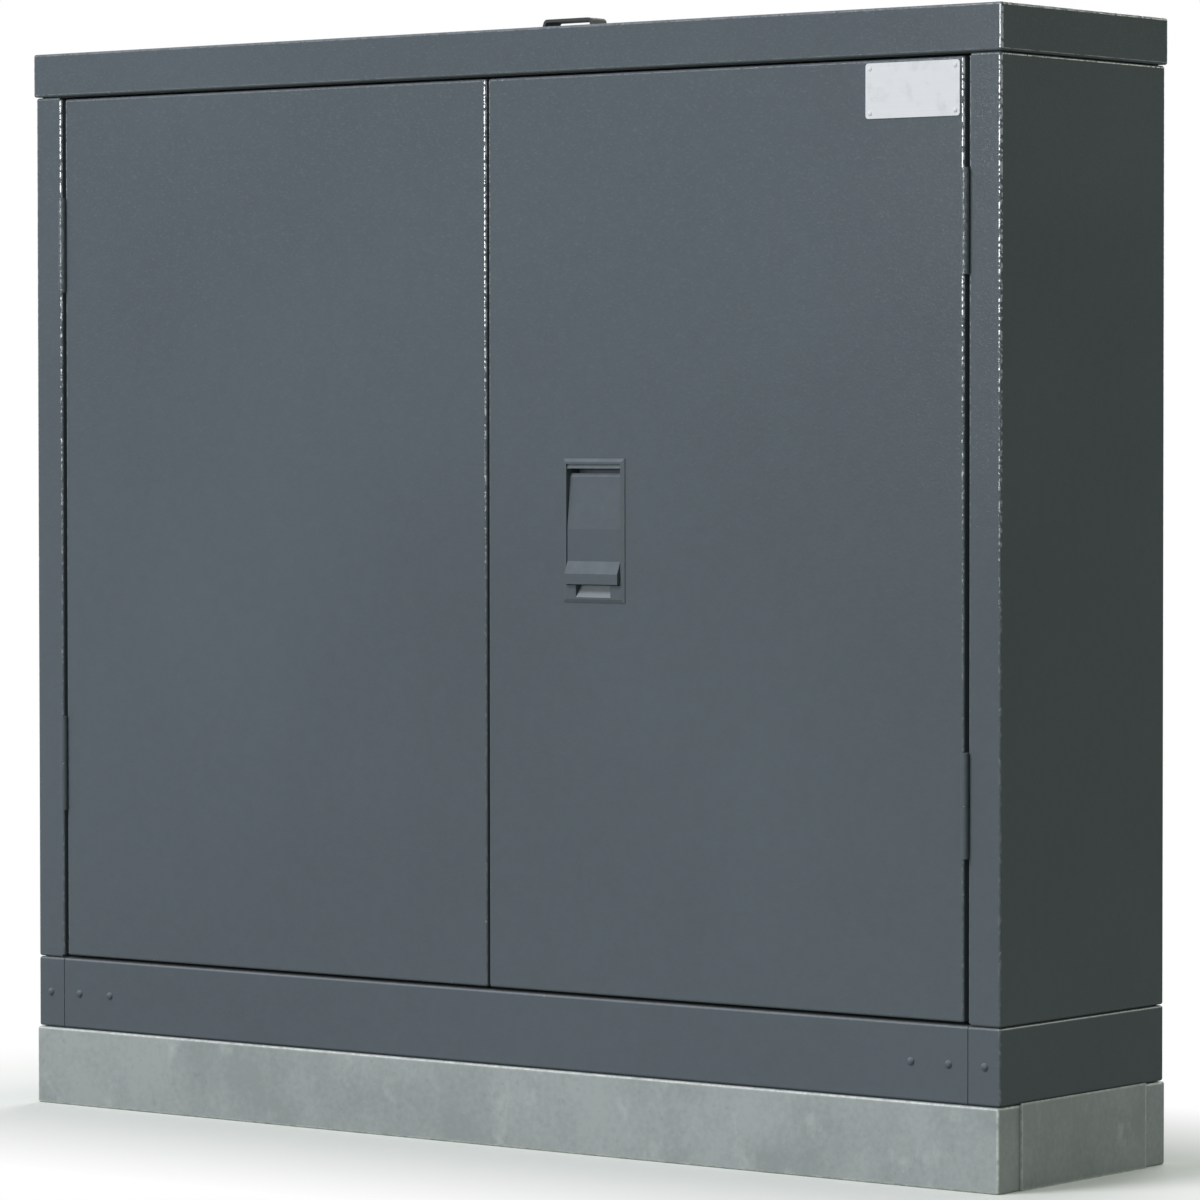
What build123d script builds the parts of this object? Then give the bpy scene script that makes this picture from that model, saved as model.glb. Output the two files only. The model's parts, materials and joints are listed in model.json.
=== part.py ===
"""Outdoor cable distribution cabinet: two-door painted steel body on a galvanised ground frame.

Frame: millimetres, +Z up, +X to the right seen from the front, doors facing -Y.
Origin on the ground, in the middle of the four anchor holes.
"""
import os
from math import atan, cos, degrees, radians, sqrt, tan

from build123d import *

os.makedirs("parts", exist_ok=True)

# Enclosure: width and depth over the side walls, heights of the stacked modules
WIDTH = 1200.0
DEPTH = 276.0
GROUND_FRAME_HEIGHT = 79.1
BASE_HEIGHT = 71.7
BODY_HEIGHT = 887.2
ROOF_HEIGHT = 44.1

# Painted sheet, the outside radius of its folds and the width of the front stiles
SHEET = 1.5
BEND = 2.5
STILE_WIDTH = 35.5

# Seals between the stacked modules
SEAL_THICKNESS = 0.8
SEAL_INSET = 5.0
SEAL_FRONT_WIDTH = 50.0

# Galvanised ground frame: two flanged panels and two lapped side plates, anchored to the plinth
FRAME_SHEET = 2.0
FRAME_BEND = 2.5
FRAME_PROUD = 3.0
FRAME_FLANGE = 60.0
SIDE_PLATE_LAP = 24.0
SIDE_PLATE_RISE = 1.5
ANCHOR_END_INSET = 60.0
ANCHOR_FACE_INSET = 34.0
ANCHOR_HOLE = 14.0

# Painted base: side pieces, flanged panels, corner brackets and dome head screws
BASE_JOINT = 0.8
BASE_FLANGE = 62.0
BRACKET_THICKNESS = 3.0
BRACKET_HEIGHT = 40.0
BRACKET_MARGIN = 12.0
SIDE_SCREW_INSET = 17.0
PANEL_SCREW_INSET = 21.5
PANEL_SCREW_PITCH = 42.0
SCREW_HEAD = 8.0
SCREW_HEAD_HEIGHT = 2.6
SCREW_SHANK = 4.0
SCREW_TIP = 2.0
HOLE_CLEARANCE = 0.1

# Body: back panel flange, door stop lips and the two cross rails behind the doors
BACK_FLANGE = 30.0
STOP_LIP = 18.0
RAIL_HEIGHT = 40.0
RAIL_FLANGE = 46.0

# Roof lid and its lifting bracket
ROOF_OVERHANG = 2.0
ROOF_HEM_SIDE = 40.0
ROOF_HEM_FRONT = 58.0
LIFT_STRAP = 3.0
LIFT_BEND = 5.0
LIFT_DEPTH = 24.0
LIFT_HEIGHT = 18.0
LIFT_TOP = 56.0
LIFT_SPAN = 66.0
LIFT_FOOT = 24.0
LIFT_BOLT = 8.0
LIFT_BOLT_HEAD = 13.0
LIFT_BOLT_HEAD_HEIGHT = 5.3
LIFT_NUT_HEIGHT = 6.5

# Doors: folded pans with an inward lip, sealed against the stop lips
DOOR_DEPTH = 22.0
DOOR_LIP = 16.0
DOOR_GAP_TOP = 2.6
DOOR_GAP_BOTTOM = 2.6
HINGE_GAP = 4.9
CENTRE_GAP = 2.6
GASKET_WIDTH = 9.0
GASKET_THICKNESS = 5.7
GASKET_CLEARANCE = 0.3
CENTRE_SEAL_CLEARANCE = 1.0
CENTRE_SEAL_SETBACK = 7.0

# Lift-off hinges: lower knuckle and pin on the stile, upper knuckle on the door
BARREL = 8.0
BARREL_CLEARANCE = 0.4
KNUCKLE = 48.3
KNUCKLE_GAP = 0.4
HINGE_LEAF = 1.8
HINGE_LEAF_DEPTH = 20.0
HINGE_PIN = 4.0
PIN_SEAT = 0.02
PIN_CLEARANCE = 0.08
PIN_REACH = 40.0
HINGE_FROM_TOP = 152.6
HINGE_FROM_BOTTOM = 201.1

# Bare identification plate with four rivets, upper outer corner of the right door
PLATE_WIDTH = 105.0
PLATE_HEIGHT = 51.0
PLATE_THICKNESS = 1.0
PLATE_CORNER = 3.0
PLATE_SIDE_MARGIN = 4.5
PLATE_TOP_MARGIN = 3.0
RIVET_INSET = 5.0
RIVET_HEAD = 5.0
RIVET_HEAD_HEIGHT = 1.0
RIVET_SHANK = 2.8

# Lift lever in a dished bezel on the right door
HANDLE_X = 132.0
HANDLE_HEIGHT = 448.1
BEZEL_WIDTH = 74.0
BEZEL_HEIGHT = 138.0
BEZEL_PROUD = 2.4
BEZEL_EDGE = 0.8
BEZEL_BEVEL = 3.2
TUB_DEPTH = 20.0
TUB_WALL = 2.0
TUB_FIT = 0.5
RECESS_TOP_MARGIN = 9.5
RECESS_BOTTOM_MARGIN = 16.5
LEDGE_MARGIN = 5.2
LEDGE_DEPTH = 2.4
LEDGE_LIP = 0.8
SCOOP_WIDTH = 42.0
SCOOP_MARGIN = 3.0
SCOOP_DEPTH = 9.0
LEVER_WIDTH = 64.0
LEVER_SIDE_CLEARANCE = 0.7
LEVER_END_CLEARANCE = 1.0
LEVER_THICKNESS = 4.0
LEVER_TOP_CLEARANCE = 4.5
LEVER_TOP_SINK = 5.2
LEVER_TOP_BEVEL_HEIGHT = 3.5
LEVER_TOP_BEVEL_DEPTH = 2.4
LEVER_LIP_HEIGHT = 10.0
LEVER_RAMP_HEIGHT = 12.0
LEVER_FACE_HEIGHT = 31.0
LEVER_FACE_SINK = 1.0
LEVER_LIP_PROUD = 3.8
LEVER_SWING = 50.0
PIVOT_DROP = 24.0
PIVOT_DEPTH = 12.6
PIVOT_BOSS = 13.0
PIVOT_PIN = 5.0
CRANK_WIDTH = 8.0
CRANK_THICKNESS = 6.0
CRANK_TIP = 3.0

# Lock bar worked by the lever, sliding in straps on the right door
BAR_WIDTH = 25.0
BAR_THICKNESS = 4.0
BAR_CLEARANCE = 0.5
TONGUE_WIDTH = 12.0
TONGUE_REACH = 12.0
SHOULDER_GAP = 6.0
KEEPER_CLEARANCE = 1.0
SLOT_CLEARANCE = 0.6
HOOK_REACH = 14.0
HOOK_GROUND = 3.0
HOOK_LAP = 25.0
FINGER_BELOW_KEEPER = 8.0
KEEPER_SHEET = 2.5
KEEPER_WIDTH = 26.0
KEEPER_FOOT = 12.0
KEEPER_EDGE = 6.0
STRAP_SHEET = 2.0
STRAP_HEIGHT = 20.0
STRAP_FOOT = 12.0
STRAP_CLEARANCE = 0.3
STRAP_FROM_BOTTOM = 130.0
STRAP_FROM_TOP = 126.0
STRAP_BELOW_DISH = 51.5

# Slide bolts on the left door
BOLT_X = 70.0
BOLT_WIDTH = 16.0
BOLT_LENGTH = 122.0
BOLT_TRAVEL = 22.0
BOLT_KNOB = 12.0
BOLT_KNOB_LENGTH = 14.0
BOLT_KNOB_FROM_RAIL = 50.0
BOLT_STRAP_FIRST = 25.0
BOLT_STRAP_CLEARANCE = 8.0

# Equipment inside: uprights, insulating supports, busbars, earth bar and cable rail
UPRIGHT_INSET = 134.5
UPRIGHT_WIDTH = 60.0
UPRIGHT_DEPTH = 40.0
UPRIGHT_SHEET = 2.0
UPRIGHT_CLEARANCE = 0.3
UPRIGHT_HOLE = 9.0
UPRIGHT_HOLE_PITCH = 185.0
BUSBAR_OVERHANG = 50.0
BUSBAR_HEIGHT = 30.0
BUSBAR_THICKNESS = 10.0
BUSBAR_PITCH = 185.0
BUSBAR_FROM_TOP = 366.6
BUSBAR_SEAT = 5.0
BUSBAR_SEAT_CLEARANCE = 0.2
SUPPORT_WIDTH = 40.0
SUPPORT_DEPTH = 34.0
SUPPORT_END = 50.0
SUPPORT_CHAMFER = 6.0
EARTH_BAR_OVERHANG = 50.0
EARTH_BAR_HEIGHT = 40.0
EARTH_BAR_THICKNESS = 8.0
EARTH_BAR_LEVEL = 95.0
EARTH_SUPPORT_DEPTH = 20.0
EARTH_BOLT = 10.0
EARTH_BOLT_HEAD = 17.0
EARTH_BOLT_HEAD_HEIGHT = 7.0
EARTH_BOLT_COUNT = 10
EARTH_BOLT_FROM_UPRIGHT = 115.0
CABLE_RAIL_OVERHANG = 50.0
CABLE_RAIL_HEIGHT = 40.0
CABLE_RAIL_DEPTH = 22.0
CABLE_RAIL_LIP = 11.0
CABLE_RAIL_SHEET = 2.0
CABLE_RAIL_BEND = 3.0
CABLE_RAIL_LEVEL = 45.0

# Vertical fuse rails on the busbars, three fuse links in each
FUSE_RAIL_COUNT = 4
FUSE_RAIL_PITCH = 100.0
FUSE_RAIL_WIDTH = 98.0
FUSE_RAIL_DEPTH = 92.0
FUSE_RAIL_BACK = 28.0
FUSE_RAIL_RIB = 4.0
FUSE_RAIL_END = 85.0
FUSE_RAIL_CHAMFER = 5.0
FUSE_COVER_DEPTH = 66.0
FUSE_COVER_CHAMFER = 12.0
FUSE_POCKET_HEIGHT = 100.0
FUSE_BODY_WIDTH = 54.0
FUSE_BODY_HEIGHT = 66.0
FUSE_BODY_DEPTH = 48.0
FUSE_BODY_CHAMFER = 5.0
FUSE_CAP_THICKNESS = 3.0
FUSE_BLADE_WIDTH = 26.0
FUSE_BLADE_THICKNESS = 6.0
FUSE_LUG_HEIGHT = 9.0
FUSE_LUG_WIDTH = 12.0

# Levels and planes that follow from the sizes above
front = -DEPTH / 2
rear = DEPTH / 2
side = WIDTH / 2
stile_inner = side - STILE_WIDTH
frame_front = front - FRAME_PROUD
base_bottom = GROUND_FRAME_HEIGHT + SEAL_THICKNESS
base_top = base_bottom + BASE_HEIGHT
base_mid = base_bottom + BASE_HEIGHT / 2
body_bottom = base_top + SEAL_THICKNESS
body_top = body_bottom + BODY_HEIGHT
body_mid = body_bottom + BODY_HEIGHT / 2
roof_bottom = body_top + SEAL_THICKNESS
roof_top = roof_bottom + ROOF_HEIGHT
door_edge = stile_inner - HINGE_GAP
door_width = door_edge - CENTRE_GAP / 2
door_x = CENTRE_GAP / 2 + door_width / 2
door_bottom = body_bottom + DOOR_GAP_BOTTOM
door_top = body_top - DOOR_GAP_TOP
door_height = door_top - door_bottom
door_mid = (door_bottom + door_top) / 2
lip_face = front + DOOR_DEPTH
stop_face = lip_face + GASKET_THICKNESS + GASKET_CLEARANCE
rail_end = stile_inner - STOP_LIP
top_rail_bottom = body_top - RAIL_HEIGHT
sill_top = body_bottom + RAIL_HEIGHT
bar_front = stop_face + SHEET + BEND + BAR_CLEARANCE
bar_mid = bar_front + BAR_THICKNESS / 2
bar_rear = bar_front + BAR_THICKNESS
back_face = rear - SHEET


def folded_pan(face, width, height, depth, sheet, bend):
    """Sheet folded to a shallow box: outside on the given plane, open towards the plane's normal."""
    with BuildPart() as pan:
        with BuildSketch(face):
            Rectangle(width, height)
        extrude(amount=depth)
        inward = Axis(face.origin, face.z_dir)
        rim = pan.faces().sort_by(inward)[-1]
        fillet(pan.edges() - rim.edges(), radius=bend)
        offset(amount=-sheet, openings=pan.faces().sort_by(inward)[-1])
    return pan.part


def folded_strip(section, corners, sheet, bend, length):
    """Strip of sheet folded at the corners of its centre line, extruded evenly about the section plane."""
    with BuildPart() as strip:
        with BuildSketch(section):
            with BuildLine():
                FilletPolyline(corners, radius=bend - sheet / 2)
            trace(line_width=sheet)
        extrude(amount=length / 2, both=True)
    return strip.part


def mirrored(piece, about):
    """Opposite-hand copy of a piece."""
    with BuildPart() as twin:
        mirror(piece, about=about)
    return twin.part


def dome_screw(head, head_height, shank, shank_length):
    """Dome head screw along Y, seat at the origin, head towards -Y."""
    dome_share = sqrt(0.5)
    with BuildPart() as screw:
        with BuildSketch():
            with BuildLine():
                ThreePointArc(
                    (0, -head_height),
                    (head / 2 * dome_share, -head_height * dome_share),
                    (head / 2, 0),
                )
                Polyline(
                    (head / 2, 0),
                    (shank / 2, 0),
                    (shank / 2, shank_length),
                    (0, shank_length),
                    (0, -head_height),
                )
            make_face()
        revolve(axis=Axis.Y)
    return screw.part


def sliding_strap(x, level, width):
    """Hat-shaped strap on the inside of a door skin that holds a flat bar of the given width."""
    foot = front + SHEET + STRAP_SHEET / 2
    bridge = bar_rear + STRAP_CLEARANCE + STRAP_SHEET / 2
    leg = width / 2 + STRAP_CLEARANCE + STRAP_SHEET / 2
    corners = [
        (x - leg - STRAP_FOOT, foot),
        (x - leg, foot),
        (x - leg, bridge),
        (x + leg, bridge),
        (x + leg, foot),
        (x + leg + STRAP_FOOT, foot),
    ]
    return folded_strip(Plane.XY.offset(level), corners, STRAP_SHEET, STRAP_SHEET, STRAP_HEIGHT)


def save(piece, name):
    """Label a finished piece and write its file."""
    piece.label = name
    export_step(piece, f"parts/{name}.step")


# Ground frame: front and rear panels with return flanges all round, side plates lapped outside
frame_panel_plane = Plane(
    origin=(0, frame_front, GROUND_FRAME_HEIGHT / 2), x_dir=(1, 0, 0), z_dir=(0, 1, 0)
)
frame_pan = folded_pan(
    frame_panel_plane, WIDTH, GROUND_FRAME_HEIGHT, FRAME_FLANGE, FRAME_SHEET, FRAME_BEND
)
anchor_x = side - ANCHOR_END_INSET
anchor_y = frame_front + ANCHOR_FACE_INSET
with BuildPart() as ground_frame_front:
    add(frame_pan)
    with BuildSketch():
        with Locations((0, anchor_y)):
            with GridLocations(2 * anchor_x, 0, 2, 1):
                Circle(ANCHOR_HOLE / 2)
    extrude(amount=FRAME_SHEET, mode=Mode.SUBTRACT)
save(ground_frame_front.part, "ground_frame_front")
save(mirrored(ground_frame_front.part, Plane.XZ), "ground_frame_rear")

side_plate_length = 2 * (FRAME_PROUD - front - FRAME_FLANGE + SIDE_PLATE_LAP)
side_plate_height = GROUND_FRAME_HEIGHT + SIDE_PLATE_RISE
with BuildPart() as ground_frame_side_right:
    with BuildSketch(Plane.YZ.offset(side)):
        with Locations((0, side_plate_height / 2)):
            Rectangle(side_plate_length, side_plate_height)
    extrude(amount=FRAME_SHEET)
save(ground_frame_side_right.part, "ground_frame_side_right")
save(mirrored(ground_frame_side_right.part, Plane.YZ), "ground_frame_side_left")

seal_strip_y = front + SEAL_INSET + SEAL_FRONT_WIDTH / 2
with BuildPart() as frame_seal:
    with BuildSketch(Plane.XY.offset(GROUND_FRAME_HEIGHT)):
        with GridLocations(0, 2 * seal_strip_y, 1, 2):
            Rectangle(WIDTH - 2 * SEAL_INSET, SEAL_FRONT_WIDTH)
    extrude(amount=SEAL_THICKNESS)
save(frame_seal.part, "frame_seal")

# Painted base: side pieces, front and rear panels, brackets behind the joints and their screws
side_screw_x = side - SIDE_SCREW_INSET
panel_screw_x = stile_inner - PANEL_SCREW_INSET
screw_row = (side_screw_x, panel_screw_x, panel_screw_x - PANEL_SCREW_PITCH)
screw_places = [(hand * x, base_mid) for hand in (-1, 1) for x in screw_row]
screw_hole = SCREW_SHANK / 2 + HOLE_CLEARANCE

base_side_plane = Plane(origin=(side, 0, base_mid), x_dir=(0, 1, 0), z_dir=(-1, 0, 0))
base_side_pan = folded_pan(base_side_plane, DEPTH, BASE_HEIGHT, STILE_WIDTH - BASE_JOINT / 2, SHEET, BEND)
with BuildPart() as base_side_right:
    add(base_side_pan)
    with BuildSketch(Plane.XZ):
        with Locations((side_screw_x, base_mid)):
            Circle(screw_hole)
    extrude(amount=DEPTH, both=True, mode=Mode.SUBTRACT)
save(base_side_right.part, "base_side_right")
save(mirrored(base_side_right.part, Plane.YZ), "base_side_left")

base_panel_section = [
    (front + BASE_FLANGE, base_bottom + SHEET / 2),
    (front + SHEET / 2, base_bottom + SHEET / 2),
    (front + SHEET / 2, base_top - SHEET / 2),
    (front + BASE_FLANGE, base_top - SHEET / 2),
]
base_panel_strip = folded_strip(Plane.YZ, base_panel_section, SHEET, BEND, 2 * stile_inner - BASE_JOINT)
with BuildPart() as base_front_panel:
    add(base_panel_strip)
    with BuildSketch(Plane.XZ.offset(-front)):
        with Locations(*screw_places):
            Circle(screw_hole)
    extrude(amount=-BEND, mode=Mode.SUBTRACT)
save(base_front_panel.part, "base_front_panel")
save(mirrored(base_front_panel.part, Plane.XZ), "base_rear_panel")

bracket_inner = screw_row[-1] - BRACKET_MARGIN
bracket_outer = side_screw_x + BRACKET_MARGIN
with BuildPart() as front_brackets:
    with BuildSketch(Plane.XZ.offset(-front - SHEET)):
        with GridLocations(bracket_inner + bracket_outer, 0, 2, 1):
            with Locations((0, base_mid)):
                Rectangle(bracket_outer - bracket_inner, BRACKET_HEIGHT)
        with Locations(*screw_places):
            Circle(screw_hole, mode=Mode.SUBTRACT)
    extrude(amount=-BRACKET_THICKNESS)
with BuildPart() as base_brackets:
    add(front_brackets.part)
    mirror(about=Plane.XZ)
save(base_brackets.part, "base_brackets")

base_screw = dome_screw(
    SCREW_HEAD, SCREW_HEAD_HEIGHT, SCREW_SHANK, SHEET + BRACKET_THICKNESS + SCREW_TIP
)
with BuildPart() as base_screws:
    with Locations(*[(x, front, z) for x, z in screw_places]):
        add(base_screw)
    mirror(about=Plane.XZ)
save(base_screws.part, "base_screws")

# Seals under the body and under the roof
seal_side_width = STILE_WIDTH - BEND - SEAL_INSET


def seal_ring(level):
    """Flat seal between two modules, following their side flanges and front and rear rails."""
    with BuildPart() as ring:
        with BuildSketch(Plane.XY.offset(level)):
            Rectangle(WIDTH - 2 * SEAL_INSET, DEPTH - 2 * SEAL_INSET)
            Rectangle(
                WIDTH - 2 * SEAL_INSET - 2 * seal_side_width,
                DEPTH - 2 * SEAL_INSET - 2 * SEAL_FRONT_WIDTH,
                mode=Mode.SUBTRACT,
            )
        extrude(amount=SEAL_THICKNESS)
    return ring.part


save(seal_ring(base_top), "base_seal")
save(seal_ring(body_top), "roof_seal")

# Body: side walls with the front stile folded back to a door stop, back panel and cross rails
side_wall_plane = Plane(origin=(side, 0, body_mid), x_dir=(0, 1, 0), z_dir=(-1, 0, 0))
side_wall_pan = folded_pan(side_wall_plane, DEPTH, BODY_HEIGHT, STILE_WIDTH - BEND, SHEET, BEND)
stile_section = [
    (stile_inner + 2 * BEND, front + SHEET / 2),
    (stile_inner + SHEET / 2, front + SHEET / 2),
    (stile_inner + SHEET / 2, stop_face + SHEET / 2),
    (rail_end, stop_face + SHEET / 2),
]
stile_return = folded_strip(Plane.XY.offset(body_mid), stile_section, SHEET, BEND, BODY_HEIGHT - 2 * BEND)
with BuildPart() as side_wall_right:
    add(side_wall_pan)
    add(stile_return)
save(side_wall_right.part, "side_wall_right")
save(mirrored(side_wall_right.part, Plane.YZ), "side_wall_left")

back_plane = Plane(origin=(0, rear, body_mid), x_dir=(1, 0, 0), z_dir=(0, -1, 0))
back_panel = folded_pan(back_plane, 2 * (stile_inner + BEND), BODY_HEIGHT, BACK_FLANGE, SHEET, BEND)
save(back_panel, "back_panel")


def cross_rail(bottom, top):
    """Channel between the side walls behind the doors, open to the rear."""
    corners = [
        (stop_face + RAIL_FLANGE, bottom + SHEET / 2),
        (stop_face + SHEET / 2, bottom + SHEET / 2),
        (stop_face + SHEET / 2, top - SHEET / 2),
        (stop_face + RAIL_FLANGE, top - SHEET / 2),
    ]
    return folded_strip(Plane.YZ, corners, SHEET, BEND, 2 * rail_end)


tongue_slot = (TONGUE_WIDTH + 2 * KEEPER_CLEARANCE, BAR_THICKNESS + 2 * BAR_CLEARANCE)
bolt_slot = (BOLT_WIDTH + 2 * KEEPER_CLEARANCE, BAR_THICKNESS + 2 * BAR_CLEARANCE)
top_rail_channel = cross_rail(top_rail_bottom, body_top)
with BuildPart() as top_rail:
    add(top_rail_channel)
    with BuildSketch(Plane.XY.offset(top_rail_bottom)):
        with Locations((HANDLE_X, bar_mid)):
            Rectangle(*tongue_slot)
        with Locations((-BOLT_X, bar_mid)):
            Rectangle(*bolt_slot)
    extrude(amount=SHEET, mode=Mode.SUBTRACT)
save(top_rail.part, "top_rail")

sill_channel = cross_rail(body_bottom, sill_top)
with BuildPart() as sill_rail:
    add(sill_channel)
    with BuildSketch(Plane.XY.offset(sill_top)):
        with Locations((-BOLT_X, bar_mid)):
            Rectangle(*bolt_slot)
    extrude(amount=-SHEET, mode=Mode.SUBTRACT)
save(sill_rail.part, "sill_rail")

# Roof: closed lid with an inward hem, and a bolted lifting bracket
lift_bolt_x = LIFT_SPAN / 2 + LIFT_FOOT / 2
lift_hole = LIFT_BOLT / 2 + HOLE_CLEARANCE
with BuildPart() as roof:
    with BuildSketch(Plane.XY.offset(roof_bottom)):
        Rectangle(WIDTH + 2 * ROOF_OVERHANG, DEPTH + 2 * ROOF_OVERHANG)
    extrude(amount=ROOF_HEIGHT)
    fillet(roof.edges(), radius=BEND)
    with BuildSketch(Plane.XY.offset(roof_bottom + SHEET)):
        Rectangle(WIDTH + 2 * ROOF_OVERHANG - 2 * SHEET, DEPTH + 2 * ROOF_OVERHANG - 2 * SHEET)
    extrude(amount=ROOF_HEIGHT - 2 * SHEET, mode=Mode.SUBTRACT)
    with BuildSketch(Plane.XY.offset(roof_bottom)):
        Rectangle(WIDTH - 2 * ROOF_HEM_SIDE, DEPTH - 2 * ROOF_HEM_FRONT)
    extrude(amount=SHEET, mode=Mode.SUBTRACT)
    with BuildSketch(Plane.XY.offset(roof_top)):
        with GridLocations(2 * lift_bolt_x, 0, 2, 1):
            Circle(lift_hole)
    extrude(amount=-SHEET, mode=Mode.SUBTRACT)
save(roof.part, "roof")

lift_foot_level = roof_top + LIFT_STRAP / 2
lift_top_level = roof_top + LIFT_HEIGHT - LIFT_STRAP / 2
lift_section = [
    (-LIFT_SPAN / 2 - LIFT_FOOT, lift_foot_level),
    (-LIFT_SPAN / 2, lift_foot_level),
    (-LIFT_TOP / 2, lift_top_level),
    (LIFT_TOP / 2, lift_top_level),
    (LIFT_SPAN / 2, lift_foot_level),
    (LIFT_SPAN / 2 + LIFT_FOOT, lift_foot_level),
]
lift_strap = folded_strip(Plane.XZ, lift_section, LIFT_STRAP, LIFT_BEND, LIFT_DEPTH)
with BuildPart() as lifting_bracket:
    add(lift_strap)
    with BuildSketch(Plane.XY.offset(roof_top)):
        with GridLocations(2 * lift_bolt_x, 0, 2, 1):
            Circle(lift_hole)
    extrude(amount=LIFT_STRAP, mode=Mode.SUBTRACT)
save(lifting_bracket.part, "lifting_bracket")

with BuildPart() as lifting_bolts:
    with BuildSketch(Plane.XY.offset(roof_top - SHEET - LIFT_NUT_HEIGHT)):
        with GridLocations(2 * lift_bolt_x, 0, 2, 1):
            Circle(LIFT_BOLT / 2)
    extrude(amount=LIFT_NUT_HEIGHT + SHEET + LIFT_STRAP + LIFT_BOLT_HEAD_HEIGHT)
    with BuildSketch(Plane.XY.offset(roof_top + LIFT_STRAP)):
        with GridLocations(2 * lift_bolt_x, 0, 2, 1):
            RegularPolygon(LIFT_BOLT_HEAD / 2, side_count=6, major_radius=False)
    extrude(amount=LIFT_BOLT_HEAD_HEIGHT)
    with BuildSketch(Plane.XY.offset(roof_top - SHEET)):
        with GridLocations(2 * lift_bolt_x, 0, 2, 1):
            RegularPolygon(LIFT_BOLT_HEAD / 2, side_count=6, major_radius=False)
    extrude(amount=-LIFT_NUT_HEIGHT)
save(lifting_bolts.part, "lifting_bolts")

# Hinges: the barrel stands clear of the rounded edges of stile and door by the same clearance
hinge_x = stile_inner - HINGE_GAP / 2
barrel_reach = BARREL / 2 + BEND + BARREL_CLEARANCE
hinge_y = front + BEND - sqrt(barrel_reach**2 - (HINGE_GAP / 2 + BEND) ** 2)
hinge_leaf_end = front + HINGE_LEAF_DEPTH
hinge_levels = (body_top - HINGE_FROM_TOP, body_bottom + HINGE_FROM_BOTTOM)
frame_leaf_x = stile_inner - HINGE_LEAF / 2
door_leaf_x = door_edge + HINGE_LEAF / 2


def hinge_half(bottom, leaf_x, bore):
    """Right-hand knuckle with its weld-on leaf."""
    with BuildPart() as half:
        with BuildSketch(Plane.XY.offset(bottom)):
            with Locations((hinge_x, hinge_y)):
                Circle(BARREL / 2)
            with Locations((leaf_x, (hinge_y + hinge_leaf_end) / 2)):
                Rectangle(HINGE_LEAF, hinge_leaf_end - hinge_y)
            with Locations((hinge_x, hinge_y)):
                Circle(bore, mode=Mode.SUBTRACT)
        extrude(amount=KNUCKLE)
    return half.part


frame_halves = [
    hinge_half(level - KNUCKLE_GAP / 2 - KNUCKLE, frame_leaf_x, HINGE_PIN / 2 + PIN_SEAT)
    for level in hinge_levels
]
door_halves = [
    hinge_half(level + KNUCKLE_GAP / 2, door_leaf_x, HINGE_PIN / 2 + PIN_CLEARANCE)
    for level in hinge_levels
]
with BuildPart() as frame_hinges_right:
    add(frame_halves)
save(frame_hinges_right.part, "frame_hinges_right")
save(mirrored(frame_hinges_right.part, Plane.YZ), "frame_hinges_left")

with BuildPart() as door_hinges_right:
    add(door_halves)
save(door_hinges_right.part, "door_hinges_right")
save(mirrored(door_hinges_right.part, Plane.YZ), "door_hinges_left")

with BuildPart() as hinge_pins:
    for level in hinge_levels:
        with BuildSketch(Plane.XY.offset(level - KNUCKLE_GAP / 2 - KNUCKLE)):
            with Locations((hinge_x, hinge_y), (-hinge_x, hinge_y)):
                Circle(HINGE_PIN / 2)
        extrude(amount=KNUCKLE + KNUCKLE_GAP + PIN_REACH)
save(hinge_pins.part, "hinge_pins")

# Doors: folded pans with a lip all round, gasket on the lip and a soft seal in the centre gap
left_door_plane = Plane(origin=(-door_x, front, door_mid), x_dir=(1, 0, 0), z_dir=(0, 1, 0))
left_door_pan = folded_pan(left_door_plane, door_width, door_height, DOOR_DEPTH, SHEET, BEND)
with BuildPart() as left_door:
    add(left_door_pan)
    with BuildSketch(Plane.XZ.offset(-lip_face)):
        with Locations((-door_x, door_mid)):
            Rectangle(door_width - SHEET, door_height - SHEET)
            Rectangle(door_width - 2 * DOOR_LIP, door_height - 2 * DOOR_LIP, mode=Mode.SUBTRACT)
    extrude(amount=SHEET)
save(left_door.part, "left_door")

bezel_mid = body_bottom + HANDLE_HEIGHT
bezel_top = bezel_mid + BEZEL_HEIGHT / 2
bezel_face = front - BEZEL_PROUD
recess_width = LEVER_WIDTH + 2 * LEVER_SIDE_CLEARANCE
tub_width = recess_width + 2 * TUB_WALL
tub_top = bezel_top - RECESS_TOP_MARGIN + TUB_WALL
tub_bottom = bezel_top - BEZEL_HEIGHT + SCOOP_MARGIN
tub_height = tub_top - tub_bottom
tub_mid = (tub_top + tub_bottom) / 2
right_door_pan = mirrored(left_door.part, Plane.YZ)
with BuildPart() as right_door:
    add(right_door_pan)
    with BuildSketch(Plane.XZ.offset(-front)):
        with Locations((HANDLE_X, tub_mid)):
            Rectangle(tub_width + 2 * TUB_FIT, tub_height + 2 * TUB_FIT)
    extrude(amount=-SHEET, mode=Mode.SUBTRACT)
save(right_door.part, "right_door")

gasket_inset = (DOOR_LIP - GASKET_WIDTH) / 2
with BuildPart() as left_door_gasket:
    with BuildSketch(Plane.XZ.offset(-lip_face)):
        with Locations((-door_x, door_mid)):
            Rectangle(door_width - 2 * gasket_inset, door_height - 2 * gasket_inset)
            Rectangle(
                door_width - 2 * gasket_inset - 2 * GASKET_WIDTH,
                door_height - 2 * gasket_inset - 2 * GASKET_WIDTH,
                mode=Mode.SUBTRACT,
            )
    extrude(amount=-GASKET_THICKNESS)
save(left_door_gasket.part, "left_door_gasket")
save(mirrored(left_door_gasket.part, Plane.YZ), "right_door_gasket")

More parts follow.
